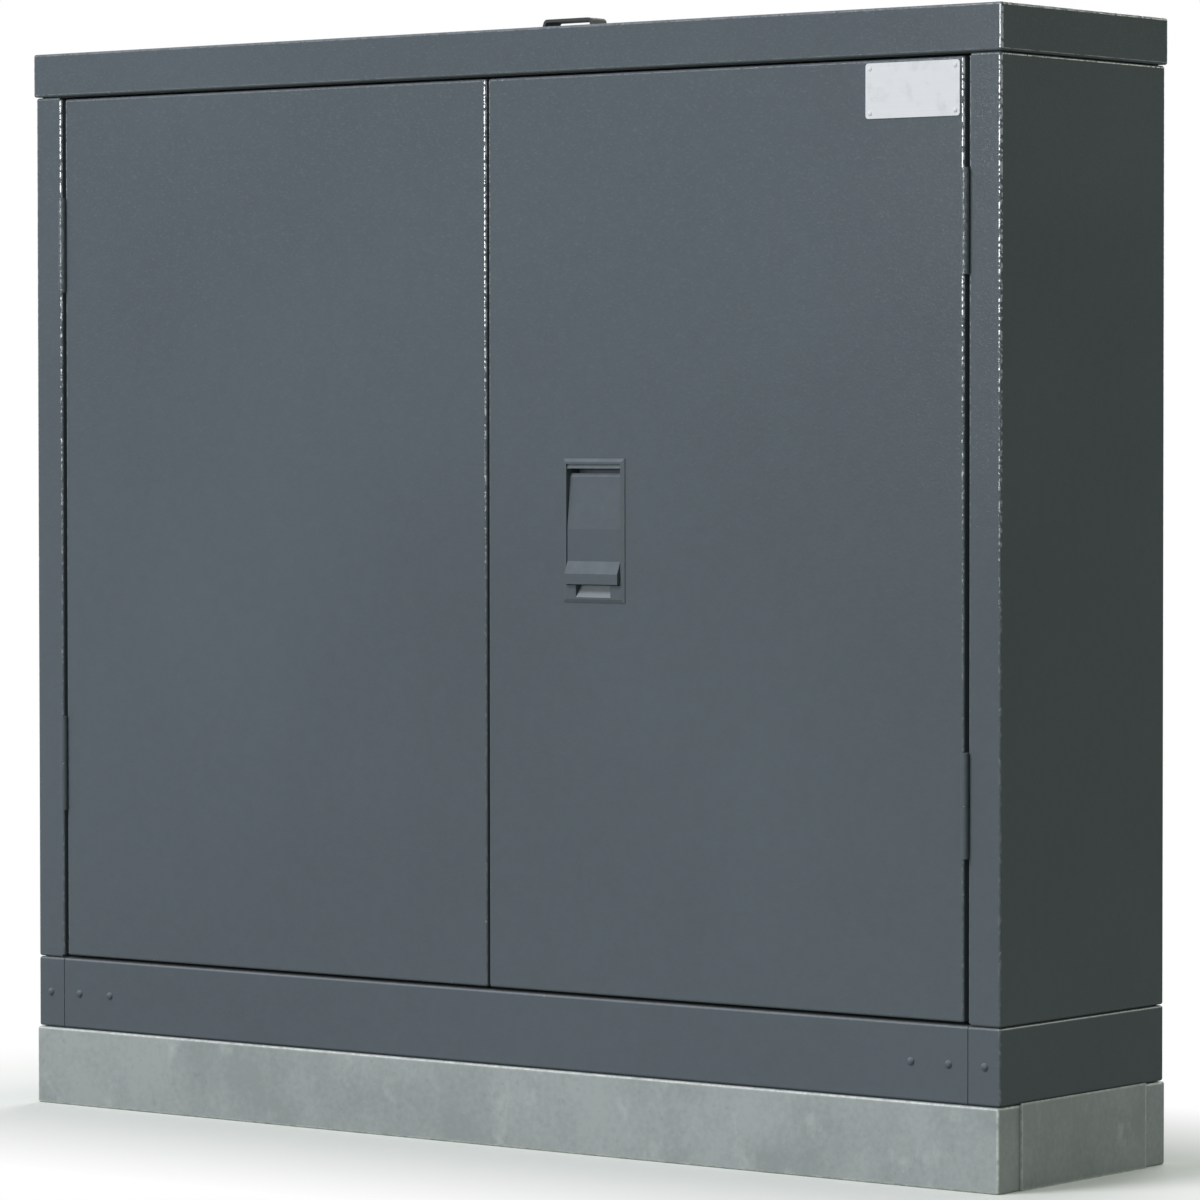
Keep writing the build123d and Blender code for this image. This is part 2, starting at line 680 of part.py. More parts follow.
centre_seal_width = CENTRE_GAP - CENTRE_SEAL_CLEARANCE
centre_seal_depth = DOOR_DEPTH - CENTRE_SEAL_SETBACK
with BuildPart() as centre_seal:
    with BuildSketch(Plane.XY.offset(door_bottom + BEND)):
        with Locations((-CENTRE_GAP / 2 + centre_seal_width / 2, lip_face - centre_seal_depth / 2)):
            Rectangle(centre_seal_width, centre_seal_depth)
    extrude(amount=door_height - 2 * BEND)
save(centre_seal.part, "centre_seal")

# Bare plate and its rivets
plate_x = door_edge - PLATE_SIDE_MARGIN - PLATE_WIDTH / 2
plate_z = door_top - PLATE_TOP_MARGIN - PLATE_HEIGHT / 2
rivet_places = (
    (hand_x * (PLATE_WIDTH / 2 - RIVET_INSET), hand_z * (PLATE_HEIGHT / 2 - RIVET_INSET))
    for hand_x in (-1, 1)
    for hand_z in (-1, 1)
)
rivet_places = [(plate_x + x, plate_z + z) for x, z in rivet_places]
with BuildPart() as nameplate:
    with BuildSketch(Plane.XZ.offset(-front)):
        with Locations((plate_x, plate_z)):
            RectangleRounded(PLATE_WIDTH, PLATE_HEIGHT, PLATE_CORNER)
        with Locations(*rivet_places):
            Circle(RIVET_SHANK / 2 + HOLE_CLEARANCE, mode=Mode.SUBTRACT)
    extrude(amount=PLATE_THICKNESS)
save(nameplate.part, "nameplate")

plate_rivet = dome_screw(RIVET_HEAD, RIVET_HEAD_HEIGHT, RIVET_SHANK, PLATE_THICKNESS)
with BuildPart() as nameplate_rivets:
    with Locations(*[(x, front - PLATE_THICKNESS, z) for x, z in rivet_places]):
        add(plate_rivet)
save(nameplate_rivets.part, "nameplate_rivets")

# Lever dish: bevelled bezel on the door, tub through it, lever recess, step above and finger scoop
pivot_y = bezel_face + PIVOT_DEPTH
pivot_z = bezel_top - PIVOT_DROP
recess_top = bezel_top - RECESS_TOP_MARGIN
recess_bottom = bezel_top - BEZEL_HEIGHT + RECESS_BOTTOM_MARGIN
recess_floor = front + TUB_DEPTH - TUB_WALL
scoop_bottom = tub_bottom + TUB_WALL
bevel_taper = degrees(atan(BEZEL_BEVEL / (BEZEL_PROUD - BEZEL_EDGE)))
swing_half = radians(LEVER_SWING / 2)
bar_distance = bar_mid - pivot_y
bar_travel = 2 * bar_distance * tan(swing_half)
crank_sweep = (front + TUB_DEPTH - pivot_y) * tan(swing_half) + CRANK_THICKNESS / 2 / cos(swing_half)
with BuildPart() as handle_dish:
    with BuildSketch(Plane.XZ.offset(-front)):
        with Locations((HANDLE_X, bezel_mid)):
            Rectangle(BEZEL_WIDTH, BEZEL_HEIGHT)
    extrude(amount=BEZEL_EDGE)
    with BuildSketch(Plane.XZ.offset(BEZEL_EDGE - front)):
        with Locations((HANDLE_X, bezel_mid)):
            Rectangle(BEZEL_WIDTH, BEZEL_HEIGHT)
    extrude(amount=BEZEL_PROUD - BEZEL_EDGE, taper=bevel_taper)
    with BuildSketch(Plane.XZ.offset(-front)):
        with Locations((HANDLE_X, tub_mid)):
            Rectangle(tub_width, tub_height)
    extrude(amount=-TUB_DEPTH)
    with BuildSketch(Plane.XZ.offset(-recess_floor)):
        with Locations((HANDLE_X, (recess_top + recess_bottom) / 2)):
            Rectangle(recess_width, recess_top - recess_bottom)
    extrude(amount=recess_floor - bezel_face, mode=Mode.SUBTRACT)
    with BuildSketch(Plane.YZ.offset(HANDLE_X)):
        with BuildLine():
            Polyline(
                (bezel_face, bezel_top - LEDGE_MARGIN),
                (bezel_face + LEDGE_DEPTH, bezel_top - LEDGE_MARGIN),
                (bezel_face + LEDGE_LIP, recess_top),
                (bezel_face, recess_top),
                close=True,
            )
        make_face()
    extrude(amount=recess_width / 2, both=True, mode=Mode.SUBTRACT)
    with BuildSketch(Plane.YZ.offset(HANDLE_X)):
        with BuildLine():
            Polyline(
                (bezel_face, recess_bottom),
                (bezel_face + SCOOP_DEPTH, recess_bottom),
                (bezel_face, scoop_bottom),
                close=True,
            )
        make_face()
    extrude(amount=SCOOP_WIDTH / 2, both=True, mode=Mode.SUBTRACT)
    with BuildSketch(Plane.XZ.offset(-recess_floor)):
        with Locations((HANDLE_X, pivot_z)):
            Rectangle(CRANK_WIDTH + 2 * SLOT_CLEARANCE, 2 * crank_sweep + 2 * SLOT_CLEARANCE)
    extrude(amount=-TUB_WALL, mode=Mode.SUBTRACT)
    with BuildSketch(Plane.YZ.offset(HANDLE_X)):
        with Locations((pivot_y, pivot_z)):
            Circle(PIVOT_PIN / 2 + PIN_CLEARANCE)
    extrude(amount=tub_width / 2, both=True, mode=Mode.SUBTRACT)
save(handle_dish.part, "handle_dish")

# Lever: sunk and bevelled upper end, flat middle, ramp to a proud grip lip, boss and crank behind
lever_top = recess_top - LEVER_TOP_CLEARANCE
lever_end = recess_bottom + LEVER_END_CLEARANCE
lip = lever_end + LEVER_LIP_HEIGHT
ramp = lip + LEVER_RAMP_HEIGHT
crease = ramp + LEVER_FACE_HEIGHT
face_y = bezel_face + LEVER_FACE_SINK
lip_y = bezel_face - LEVER_LIP_PROUD
sink_y = bezel_face + LEVER_TOP_SINK
lever_outline = [
    (sink_y + LEVER_TOP_BEVEL_DEPTH, lever_top),
    (sink_y, lever_top - LEVER_TOP_BEVEL_HEIGHT),
    (face_y, crease),
    (face_y, ramp),
    (lip_y, lip),
    (lip_y, lever_end),
    (lip_y + LEVER_THICKNESS, lever_end),
    (lip_y + LEVER_THICKNESS, lip),
    (face_y + LEVER_THICKNESS, ramp),
    (face_y + LEVER_THICKNESS, crease),
    (sink_y + LEVER_THICKNESS, lever_top),
]
crank_reach = (bar_distance + BAR_THICKNESS / 2 + CRANK_TIP) / cos(swing_half)
with BuildPart() as lever:
    with BuildSketch(Plane.YZ.offset(HANDLE_X)):
        with BuildLine():
            Polyline(lever_outline, close=True)
        make_face()
        with Locations((pivot_y, pivot_z)):
            Circle(PIVOT_BOSS / 2)
    extrude(amount=LEVER_WIDTH / 2, both=True)
    with BuildSketch(Plane.YZ.offset(HANDLE_X)):
        with Locations(Location((pivot_y, pivot_z, 0), (0, 0, LEVER_SWING / 2))):
            Rectangle(crank_reach, CRANK_THICKNESS, align=(Align.MIN, Align.CENTER))
    extrude(amount=CRANK_WIDTH / 2, both=True)
    with BuildSketch(Plane.YZ.offset(HANDLE_X)):
        with Locations((pivot_y, pivot_z)):
            Circle(PIVOT_PIN / 2 + PIN_SEAT)
    extrude(amount=LEVER_WIDTH / 2, both=True, mode=Mode.SUBTRACT)
save(lever.part, "lever")

with BuildPart() as lever_pin:
    with BuildSketch(Plane.YZ.offset(HANDLE_X)):
        with Locations((pivot_y, pivot_z)):
            Circle(PIVOT_PIN / 2)
    extrude(amount=tub_width / 2, both=True)
save(lever_pin.part, "lever_pin")

# Lock bar: tongue up through the top rail, hook up through the keeper on the sill
shoulder = top_rail_bottom - SHOULDER_GAP
hook_level = sill_top + bar_travel + HOOK_GROUND + BAR_THICKNESS / 2
keeper_level = hook_level + BAR_THICKNESS / 2 + FINGER_BELOW_KEEPER
finger_y = bar_mid + HOOK_REACH
finger_top = keeper_level + TONGUE_REACH
slot_level = pivot_z + bar_travel / 2
slot_height = CRANK_THICKNESS / cos(swing_half) + BAR_THICKNESS * tan(swing_half) + 2 * SLOT_CLEARANCE
hook_section = [
    (bar_mid, hook_level + HOOK_LAP),
    (bar_mid, hook_level),
    (finger_y, hook_level),
    (finger_y, finger_top),
]
lock_hook = folded_strip(
    Plane.YZ.offset(HANDLE_X), hook_section, BAR_THICKNESS, BAR_THICKNESS, TONGUE_WIDTH
)
flat_bottom = hook_level + 2 * BAR_THICKNESS
with BuildPart() as lock_bar:
    with BuildSketch(Plane.XZ.offset(-bar_rear)):
        with Locations((HANDLE_X, flat_bottom)):
            Rectangle(BAR_WIDTH, shoulder - flat_bottom, align=(Align.CENTER, Align.MIN))
        with Locations((HANDLE_X, shoulder)):
            Rectangle(
                TONGUE_WIDTH,
                SHOULDER_GAP + TONGUE_REACH,
                align=(Align.CENTER, Align.MIN),
            )
        with Locations((HANDLE_X, slot_level)):
            Rectangle(CRANK_WIDTH + 2 * SLOT_CLEARANCE, slot_height, mode=Mode.SUBTRACT)
    extrude(amount=BAR_THICKNESS)
    add(lock_hook)
save(lock_bar.part, "lock_bar")

keeper_leg = finger_y + BAR_THICKNESS / 2 + KEEPER_CLEARANCE + KEEPER_SHEET
keeper_section = [
    (keeper_leg + KEEPER_FOOT, sill_top + KEEPER_SHEET / 2),
    (keeper_leg, sill_top + KEEPER_SHEET / 2),
    (keeper_leg, keeper_level),
    (finger_y - KEEPER_EDGE, keeper_level),
]
keeper_strap = folded_strip(
    Plane.YZ.offset(HANDLE_X), keeper_section, KEEPER_SHEET, KEEPER_SHEET, KEEPER_WIDTH
)
with BuildPart() as lower_keeper:
    add(keeper_strap)
    with BuildSketch(Plane.XY.offset(keeper_level)):
        with Locations((HANDLE_X, finger_y)):
            Rectangle(TONGUE_WIDTH + 2 * KEEPER_CLEARANCE, BAR_THICKNESS + 2 * BAR_CLEARANCE)
    extrude(amount=KEEPER_SHEET / 2, both=True, mode=Mode.SUBTRACT)
save(lower_keeper.part, "lower_keeper")

lock_strap_levels = (
    body_bottom + STRAP_FROM_BOTTOM,
    tub_bottom - STRAP_BELOW_DISH,
    body_top - STRAP_FROM_TOP,
)
lock_straps = [sliding_strap(HANDLE_X, level, BAR_WIDTH) for level in lock_strap_levels]
with BuildPart() as lock_guides:
    add(lock_straps)
save(lock_guides.part, "lock_guides")


# Slide bolts of the left door, one up into the top rail and one down into the sill
def slide_bolt(seat, direction):
    """Flat bolt with a knob: its tip stands past the seat level in the given direction."""
    tip = seat + direction * TONGUE_REACH
    with BuildPart() as bolt:
        with BuildSketch(Plane.XZ.offset(-bar_rear)):
            with Locations((-BOLT_X, tip - direction * BOLT_LENGTH / 2)):
                Rectangle(BOLT_WIDTH, BOLT_LENGTH)
        extrude(amount=BAR_THICKNESS)
        with BuildSketch(Plane.XZ.offset(-bar_rear)):
            with Locations((-BOLT_X, seat - direction * BOLT_KNOB_FROM_RAIL)):
                Circle(BOLT_KNOB / 2)
        extrude(amount=-BOLT_KNOB_LENGTH)
    return bolt.part


save(slide_bolt(top_rail_bottom, 1), "left_top_bolt")
save(slide_bolt(sill_top, -1), "left_bottom_bolt")

bolt_strap_second = BOLT_KNOB_FROM_RAIL + BOLT_TRAVEL + BOLT_KNOB / 2 + BOLT_STRAP_CLEARANCE
bolt_strap_levels = [
    seat - direction * distance
    for seat, direction in ((top_rail_bottom, 1), (sill_top, -1))
    for distance in (BOLT_STRAP_FIRST, bolt_strap_second + STRAP_HEIGHT / 2)
]
bolt_straps = [sliding_strap(-BOLT_X, level, BOLT_WIDTH) for level in bolt_strap_levels]
with BuildPart() as bolt_guides:
    add(bolt_straps)
save(bolt_guides.part, "bolt_guides")

# Uprights on the back panel
upright_x = stile_inner - UPRIGHT_INSET
upright_front = back_face - UPRIGHT_DEPTH
upright_bottom = body_bottom + BEND + UPRIGHT_CLEARANCE
upright_height = BODY_HEIGHT - 2 * BEND - 2 * UPRIGHT_CLEARANCE
upright_mid = upright_bottom + upright_height / 2
upright_section = [
    (upright_x - UPRIGHT_WIDTH / 2 + UPRIGHT_SHEET / 2, back_face),
    (upright_x - UPRIGHT_WIDTH / 2 + UPRIGHT_SHEET / 2, upright_front + UPRIGHT_SHEET / 2),
    (upright_x + UPRIGHT_WIDTH / 2 - UPRIGHT_SHEET / 2, upright_front + UPRIGHT_SHEET / 2),
    (upright_x + UPRIGHT_WIDTH / 2 - UPRIGHT_SHEET / 2, back_face),
]
upright_channel = folded_strip(
    Plane.XY.offset(upright_mid), upright_section, UPRIGHT_SHEET, BEND, upright_height
)
busbar_mid = body_top - BUSBAR_FROM_TOP
with BuildPart() as mounting_upright_right:
    add(upright_channel)
    with BuildSketch(Plane.XZ.offset(-upright_front)):
        with Locations((upright_x, busbar_mid)):
            with GridLocations(0, 3 * UPRIGHT_HOLE_PITCH, 1, 2):
                Circle(UPRIGHT_HOLE / 2)
    extrude(amount=-UPRIGHT_SHEET, mode=Mode.SUBTRACT)
save(mounting_upright_right.part, "mounting_upright_right")
save(mirrored(mounting_upright_right.part, Plane.YZ), "mounting_upright_left")

# Busbars in notched insulating supports
support_front = upright_front - SUPPORT_DEPTH
busbar_rear = support_front + BUSBAR_SEAT
busbar_front = busbar_rear - BUSBAR_THICKNESS
busbar_levels = [busbar_mid + step * BUSBAR_PITCH for step in (1, 0, -1)]
support_height = 2 * BUSBAR_PITCH + BUSBAR_HEIGHT + 2 * SUPPORT_END
with BuildPart() as busbar_support_right:
    with BuildSketch(Plane.XZ.offset(-upright_front)):
        with Locations((upright_x, busbar_mid)):
            Rectangle(SUPPORT_WIDTH, support_height)
    extrude(amount=SUPPORT_DEPTH)
    chamfer(
        busbar_support_right.faces().sort_by(Axis.Y)[0].edges().filter_by(Axis.X),
        length=SUPPORT_CHAMFER,
    )
    with BuildSketch(Plane.XZ.offset(-support_front)):
        with Locations((upright_x, busbar_mid)):
            with GridLocations(0, BUSBAR_PITCH, 1, 3):
                Rectangle(SUPPORT_WIDTH, BUSBAR_HEIGHT + 2 * BUSBAR_SEAT_CLEARANCE)
    extrude(amount=-BUSBAR_SEAT, mode=Mode.SUBTRACT)
save(busbar_support_right.part, "busbar_support_right")
save(mirrored(busbar_support_right.part, Plane.YZ), "busbar_support_left")

for number, level in enumerate(busbar_levels, start=1):
    with BuildPart() as busbar:
        with BuildSketch(Plane.XZ.offset(-busbar_rear)):
            with Locations((0, level)):
                Rectangle(2 * (upright_x + BUSBAR_OVERHANG), BUSBAR_HEIGHT)
        extrude(amount=BUSBAR_THICKNESS)
    save(busbar.part, f"busbar_{number}")

# Earth bar on its supports, with a row of clamp bolts
earth_level = body_bottom + EARTH_BAR_LEVEL
earth_rear = upright_front - EARTH_SUPPORT_DEPTH
earth_front = earth_rear - EARTH_BAR_THICKNESS
earth_bolt_pitch = 2 * (upright_x - EARTH_BOLT_FROM_UPRIGHT) / (EARTH_BOLT_COUNT - 1)
with BuildPart() as earth_supports:
    with BuildSketch(Plane.XZ.offset(-upright_front)):
        with Locations((0, earth_level)):
            with GridLocations(2 * upright_x, 0, 2, 1):
                Rectangle(SUPPORT_WIDTH, EARTH_BAR_HEIGHT)
    extrude(amount=EARTH_SUPPORT_DEPTH)
save(earth_supports.part, "earth_supports")

with BuildPart() as earth_bar:
    with BuildSketch(Plane.XZ.offset(-earth_rear)):
        with Locations((0, earth_level)):
            Rectangle(2 * (upright_x + EARTH_BAR_OVERHANG), EARTH_BAR_HEIGHT)
            with GridLocations(earth_bolt_pitch, 0, EARTH_BOLT_COUNT, 1):
                Circle(EARTH_BOLT / 2 + HOLE_CLEARANCE, mode=Mode.SUBTRACT)
    extrude(amount=EARTH_BAR_THICKNESS)
save(earth_bar.part, "earth_bar")

with BuildPart() as earth_bolts:
    with BuildSketch(Plane.XZ.offset(-earth_front)):
        with Locations((0, earth_level)):
            with GridLocations(earth_bolt_pitch, 0, EARTH_BOLT_COUNT, 1):
                RegularPolygon(EARTH_BOLT_HEAD / 2, side_count=6, major_radius=False)
    extrude(amount=EARTH_BOLT_HEAD_HEIGHT)
    with BuildSketch(Plane.XZ.offset(-earth_front)):
        with Locations((0, earth_level)):
            with GridLocations(earth_bolt_pitch, 0, EARTH_BOLT_COUNT, 1):
                Circle(EARTH_BOLT / 2)
    extrude(amount=-2 * EARTH_BAR_THICKNESS)
save(earth_bolts.part, "earth_bolts")

# Cable clamp rail: lipped channel across the uprights, open to the front
cable_level = body_bottom + CABLE_RAIL_LEVEL
cable_rear = upright_front - CABLE_RAIL_SHEET / 2
cable_front = upright_front - CABLE_RAIL_DEPTH + CABLE_RAIL_SHEET / 2
cable_half = CABLE_RAIL_HEIGHT / 2 - CABLE_RAIL_SHEET / 2
cable_section = [
    (cable_front, cable_level - CABLE_RAIL_HEIGHT / 2 + CABLE_RAIL_LIP),
    (cable_front, cable_level - cable_half),
    (cable_rear, cable_level - cable_half),
    (cable_rear, cable_level + cable_half),
    (cable_front, cable_level + cable_half),
    (cable_front, cable_level + CABLE_RAIL_HEIGHT / 2 - CABLE_RAIL_LIP),
]
cable_rail_length = 2 * (upright_x + CABLE_RAIL_OVERHANG)
cable_rail = folded_strip(Plane.YZ, cable_section, CABLE_RAIL_SHEET, CABLE_RAIL_BEND, cable_rail_length)
save(cable_rail, "cable_rail")

# Fuse rails: ribbed channel with covers between the three fuse pockets
fuse_rail_length = 2 * BUSBAR_PITCH + FUSE_POCKET_HEIGHT + 2 * FUSE_RAIL_END
fuse_rail_bottom = busbar_mid - fuse_rail_length / 2
fuse_floor = busbar_front - FUSE_RAIL_BACK
fuse_inner = FUSE_RAIL_WIDTH - 2 * FUSE_RAIL_RIB
cover_between = BUSBAR_PITCH - FUSE_POCKET_HEIGHT
fuse_rail_x = [(number - (FUSE_RAIL_COUNT - 1) / 2) * FUSE_RAIL_PITCH for number in range(FUSE_RAIL_COUNT)]


def fuse_cover(x, level, height):
    """Contact cover across the channel, bevelled at its upper and lower front edges."""
    with BuildPart() as cover:
        with BuildSketch(Plane.XZ.offset(-busbar_front)):
            with Locations((x, level)):
                Rectangle(fuse_inner, height)
        extrude(amount=FUSE_COVER_DEPTH)
        chamfer(cover.faces().sort_by(Axis.Y)[0].edges().filter_by(Axis.X), length=FUSE_COVER_CHAMFER)
    return cover.part


def fuse_rail(x):
    """One vertical rail of moulded plastic, hooked on the three busbars."""
    end_level = (fuse_rail_length - FUSE_RAIL_END) / 2
    covers = [fuse_cover(x, busbar_mid + hand * end_level, FUSE_RAIL_END) for hand in (-1, 1)]
    covers += [fuse_cover(x, busbar_mid + hand * BUSBAR_PITCH / 2, cover_between) for hand in (-1, 1)]
    with BuildPart() as rail:
        with BuildSketch(Plane.XY.offset(fuse_rail_bottom)):
            with Locations((x, busbar_front)):
                Rectangle(FUSE_RAIL_WIDTH, FUSE_RAIL_DEPTH, align=(Align.CENTER, Align.MAX))
            with Locations((x, fuse_floor)):
                Rectangle(
                    fuse_inner,
                    FUSE_RAIL_DEPTH,
                    align=(Align.CENTER, Align.MAX),
                    mode=Mode.SUBTRACT,
                )
        extrude(amount=fuse_rail_length)
        chamfer(rail.faces().sort_by(Axis.Y)[:2].edges().filter_by(Axis.X), length=FUSE_RAIL_CHAMFER)
        add(covers)
    return rail.part


for number, x in enumerate(fuse_rail_x, start=1):
    save(fuse_rail(x), f"fuse_rail_{number}")

# Fuse links: ceramic block, end caps, blades into the covers and two grip lugs on the front
fuse_front = fuse_floor - FUSE_BODY_DEPTH
fuse_middle = (fuse_floor + fuse_front) / 2
with BuildPart() as fuse_link:
    with BuildSketch(Plane.XY.offset(-FUSE_BODY_HEIGHT / 2)):
        with Locations((0, fuse_middle)):
            Rectangle(FUSE_BODY_WIDTH, FUSE_BODY_DEPTH)
    extrude(amount=FUSE_BODY_HEIGHT)
    chamfer(fuse_link.edges().filter_by(Axis.Z), length=FUSE_BODY_CHAMFER)
    with BuildSketch(Plane.XY):
        with Locations((0, fuse_middle)):
            Rectangle(FUSE_BODY_WIDTH - FUSE_BODY_CHAMFER, FUSE_BODY_DEPTH - FUSE_BODY_CHAMFER)
    extrude(amount=FUSE_BODY_HEIGHT / 2 + FUSE_CAP_THICKNESS, both=True)
    with BuildSketch(Plane.XY):
        with Locations((0, fuse_middle)):
            Rectangle(FUSE_BLADE_THICKNESS, FUSE_BLADE_WIDTH)
    extrude(amount=FUSE_POCKET_HEIGHT / 2, both=True)
    with BuildSketch(Plane.XY.offset(FUSE_BODY_HEIGHT / 2)):
        with Locations((0, fuse_front)):
            Rectangle(FUSE_LUG_WIDTH, 2 * FUSE_LUG_HEIGHT)
    extrude(amount=FUSE_CAP_THICKNESS)
    mirror(about=Plane.XY)
with BuildPart() as fuse_links:
    with Locations(*[(x, 0, level) for x in fuse_rail_x for level in busbar_levels]):
        add(fuse_link.part)
save(fuse_links.part, "fuse_links")
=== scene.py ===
"""Looks of the outdoor cabinet: finishes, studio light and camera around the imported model."""
import json
import math

import bmesh
import bpy
from mathutils import Matrix, Vector


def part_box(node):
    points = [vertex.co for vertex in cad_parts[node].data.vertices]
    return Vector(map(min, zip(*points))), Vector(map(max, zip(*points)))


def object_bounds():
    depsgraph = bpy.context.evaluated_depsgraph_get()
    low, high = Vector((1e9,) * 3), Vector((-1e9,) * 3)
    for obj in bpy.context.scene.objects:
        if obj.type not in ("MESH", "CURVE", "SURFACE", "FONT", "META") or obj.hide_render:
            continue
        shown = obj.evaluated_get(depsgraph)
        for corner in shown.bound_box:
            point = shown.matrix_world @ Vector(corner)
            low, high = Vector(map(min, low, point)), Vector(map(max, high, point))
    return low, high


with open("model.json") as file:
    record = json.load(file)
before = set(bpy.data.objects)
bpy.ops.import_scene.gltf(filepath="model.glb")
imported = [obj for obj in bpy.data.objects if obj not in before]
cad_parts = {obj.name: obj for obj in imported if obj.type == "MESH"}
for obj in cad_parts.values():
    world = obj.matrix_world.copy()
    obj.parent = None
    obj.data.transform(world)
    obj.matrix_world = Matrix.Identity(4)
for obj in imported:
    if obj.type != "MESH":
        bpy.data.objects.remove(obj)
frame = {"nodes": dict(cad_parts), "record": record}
cad_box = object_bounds()

# Camera at the photograph's viewpoint: degrees, metres and millimetres of lens
CAMERA_AZIMUTH = 37.97
CAMERA_ELEVATION = 1.70
CAMERA_ROLL = -0.05
CAMERA_PLACE = (3.535, -4.490, 0.698)
CAMERA_LENS = 173.1
CAMERA_SENSOR = 36.0

# Studio: white surround, soft sky, high key light, low panel that shows in the folds, lamps around
SKY_HORIZON = 0.12
SKY_ZENITH = 0.5
HORIZON_COLOR = (0.8, 1.0, 0.62, 1.0)
ZENITH_COLOR = (0.95, 0.98, 1.0, 1.0)
WHITE = (1.0, 1.0, 1.0, 1.0)
WHITE_STRENGTH = 1.0
DAYLIGHT = (0.97, 0.985, 1.0)
BODY_MIDDLE = (0.0, 0.0, 0.55)
PANEL_AIM = (0.0, 0.0, 1.3)
LAMPS = {
    "key": dict(place=(-2.7, -6.1, 6.6), size=(3.0, 3.0), power=345.0, color=DAYLIGHT),
    "panel": dict(place=(-1.45, -6.35, 1.3), size=(3.2, 0.9), power=125.0, color=DAYLIGHT, target=PANEL_AIM),
    "front": dict(place=(1.5, -5.6, 0.75), size=(1.6, 1.0), power=28.0, color=DAYLIGHT),
    "rim": dict(place=(2.75, 5.85, 3.3), size=(2.5, 2.5), power=40.0, color=(0.95, 1.0, 0.78)),
    "fill": dict(place=(-2.0, 6.5, 3.4), size=(4.0, 3.0), power=230.0, color=(1.0, 1.0, 1.0)),
}
FLOOR_RADIUS = 40.0
FLOOR_SEGMENTS = 96
FLOOR_COLOR = (0.97, 0.97, 0.97, 1.0)
FLOOR_BOUNCE = (0.22, 0.27, 0.16, 1.0)
FLOOR_ROUGHNESS = 0.9
FLOOR_FADE = (0.03, 0.4)

# Spans that many finishes share: a noise texture's usual values, a full swing, bump depths in metres
NOISE_SPAN = (0.3, 0.7)
FULL_SPAN = (0.0, 1.0)
BUMP_DEPTH = 0.0002
FINE_BUMP_DEPTH = 0.0001
BEVEL_SAMPLES = 6

# Powder paint: colours, then mottling, painted glint specks, dust that doubles as painted top light, wear
# with painted light in the scoop, surface
PAINT_DARK = (0.0985, 0.115, 0.141, 1.0)
PAINT_LIGHT = (0.1105, 0.129, 0.157, 1.0)
PAINT_GLINT_SPECK = (0.15, 0.172, 0.2, 1.0)
PAINT_DUST_AND_TOP_LIGHT = (0.26, 0.285, 0.33, 1.0)
PAINT_WORN_AND_LIT = (0.29, 0.315, 0.355, 1.0)
PAINT_CHIP_AND_GLINT = (0.36, 0.39, 0.39, 1.0)
BROAD_SCALE = 2.6
BROAD_SHARE = 0.65
FINE_SCALE = 90.0
FINE_SHARE = 0.35
PAINT_TONES = (0.35, 0.65)
GLINT_SPECK_STRETCH = (330.0, 330.0, 700.0)
GLINT_SPECK_SPAN = (0.56, 0.75)
GLINT_SPECK_COVER = (0.0, 0.8)
GLINT_HEIGHTS = (0.55, 1.05)
GLINT_SHARES = (0.15, 1.0)
DUST_AND_TOP_LIGHT_TILT = (0.0, 0.6)
DUST_AND_TOP_LIGHT_COVER = (0.35, 0.55)
DOOR_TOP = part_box("left_door")[1].z
SHELTER_REACH = (0.01, 0.03)
SHELTER_SHARES = (0.1, 1.0)
SCOOP_HEIGHT = 0.03
SCOOP_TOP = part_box("handle_dish")[0].z + SCOOP_HEIGHT
WORN_AND_LIT_TILT = (0.3, 0.5)
WORN_AND_LIT_COVER = (0.8, 1.0)
PAINT_PATCH_SCALE = 7.0
PAINT_ROUGHNESS = (0.5, 0.6)
PAINT_SPECULAR = 0.06
PEEL_SCALE = 300.0
PEEL_STRENGTH = 0.7
GRAIN_SCALE = 1500.0
GRAIN_SHARE = 0.35

# Gloss of the paint's clear film, which shows on the folds
FACE_GLOSS = 0.03
HINGE_GLOSS = 0.25
FILM_ROUGHNESS = 0.06
FILM_IOR = 2.3
FOLD_BEND = (0.0006, 0.004)
DASH_SCALE = 340.0
DASH_HEIGHTS = (0.75, 1.04)
DASH_SHIFTS = (-0.05, 0.04)
DASH_SPAN = (0.46, 0.54)
DASH_FLOOR = 0.02
WASHED_HEIGHTS = (0.5, 0.85)
WASHED_SHARES = (0.25, 1.0)
UNDERSIDE_TILT = (-0.35, -0.05)
LEDGE_TILT = (0.1, 0.5)
LEDGE_SHARES = (1.0, 0.2)
LEDGE_GLOSS = 0.35
LEDGE_FADE = 0.1
BASE_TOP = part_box("base_side_right")[1].z
CHIP_AND_GLINT_SCALE = 170.0
CHIP_AND_GLINT_SPAN = (0.68, 0.74)
CHIP_AND_GLINT_COVER = 0.5

# Hot-dip zinc of the ground frame
ZINC_DARK = (0.278, 0.301, 0.316, 1.0)
ZINC_LIGHT = (0.345, 0.368, 0.386, 1.0)
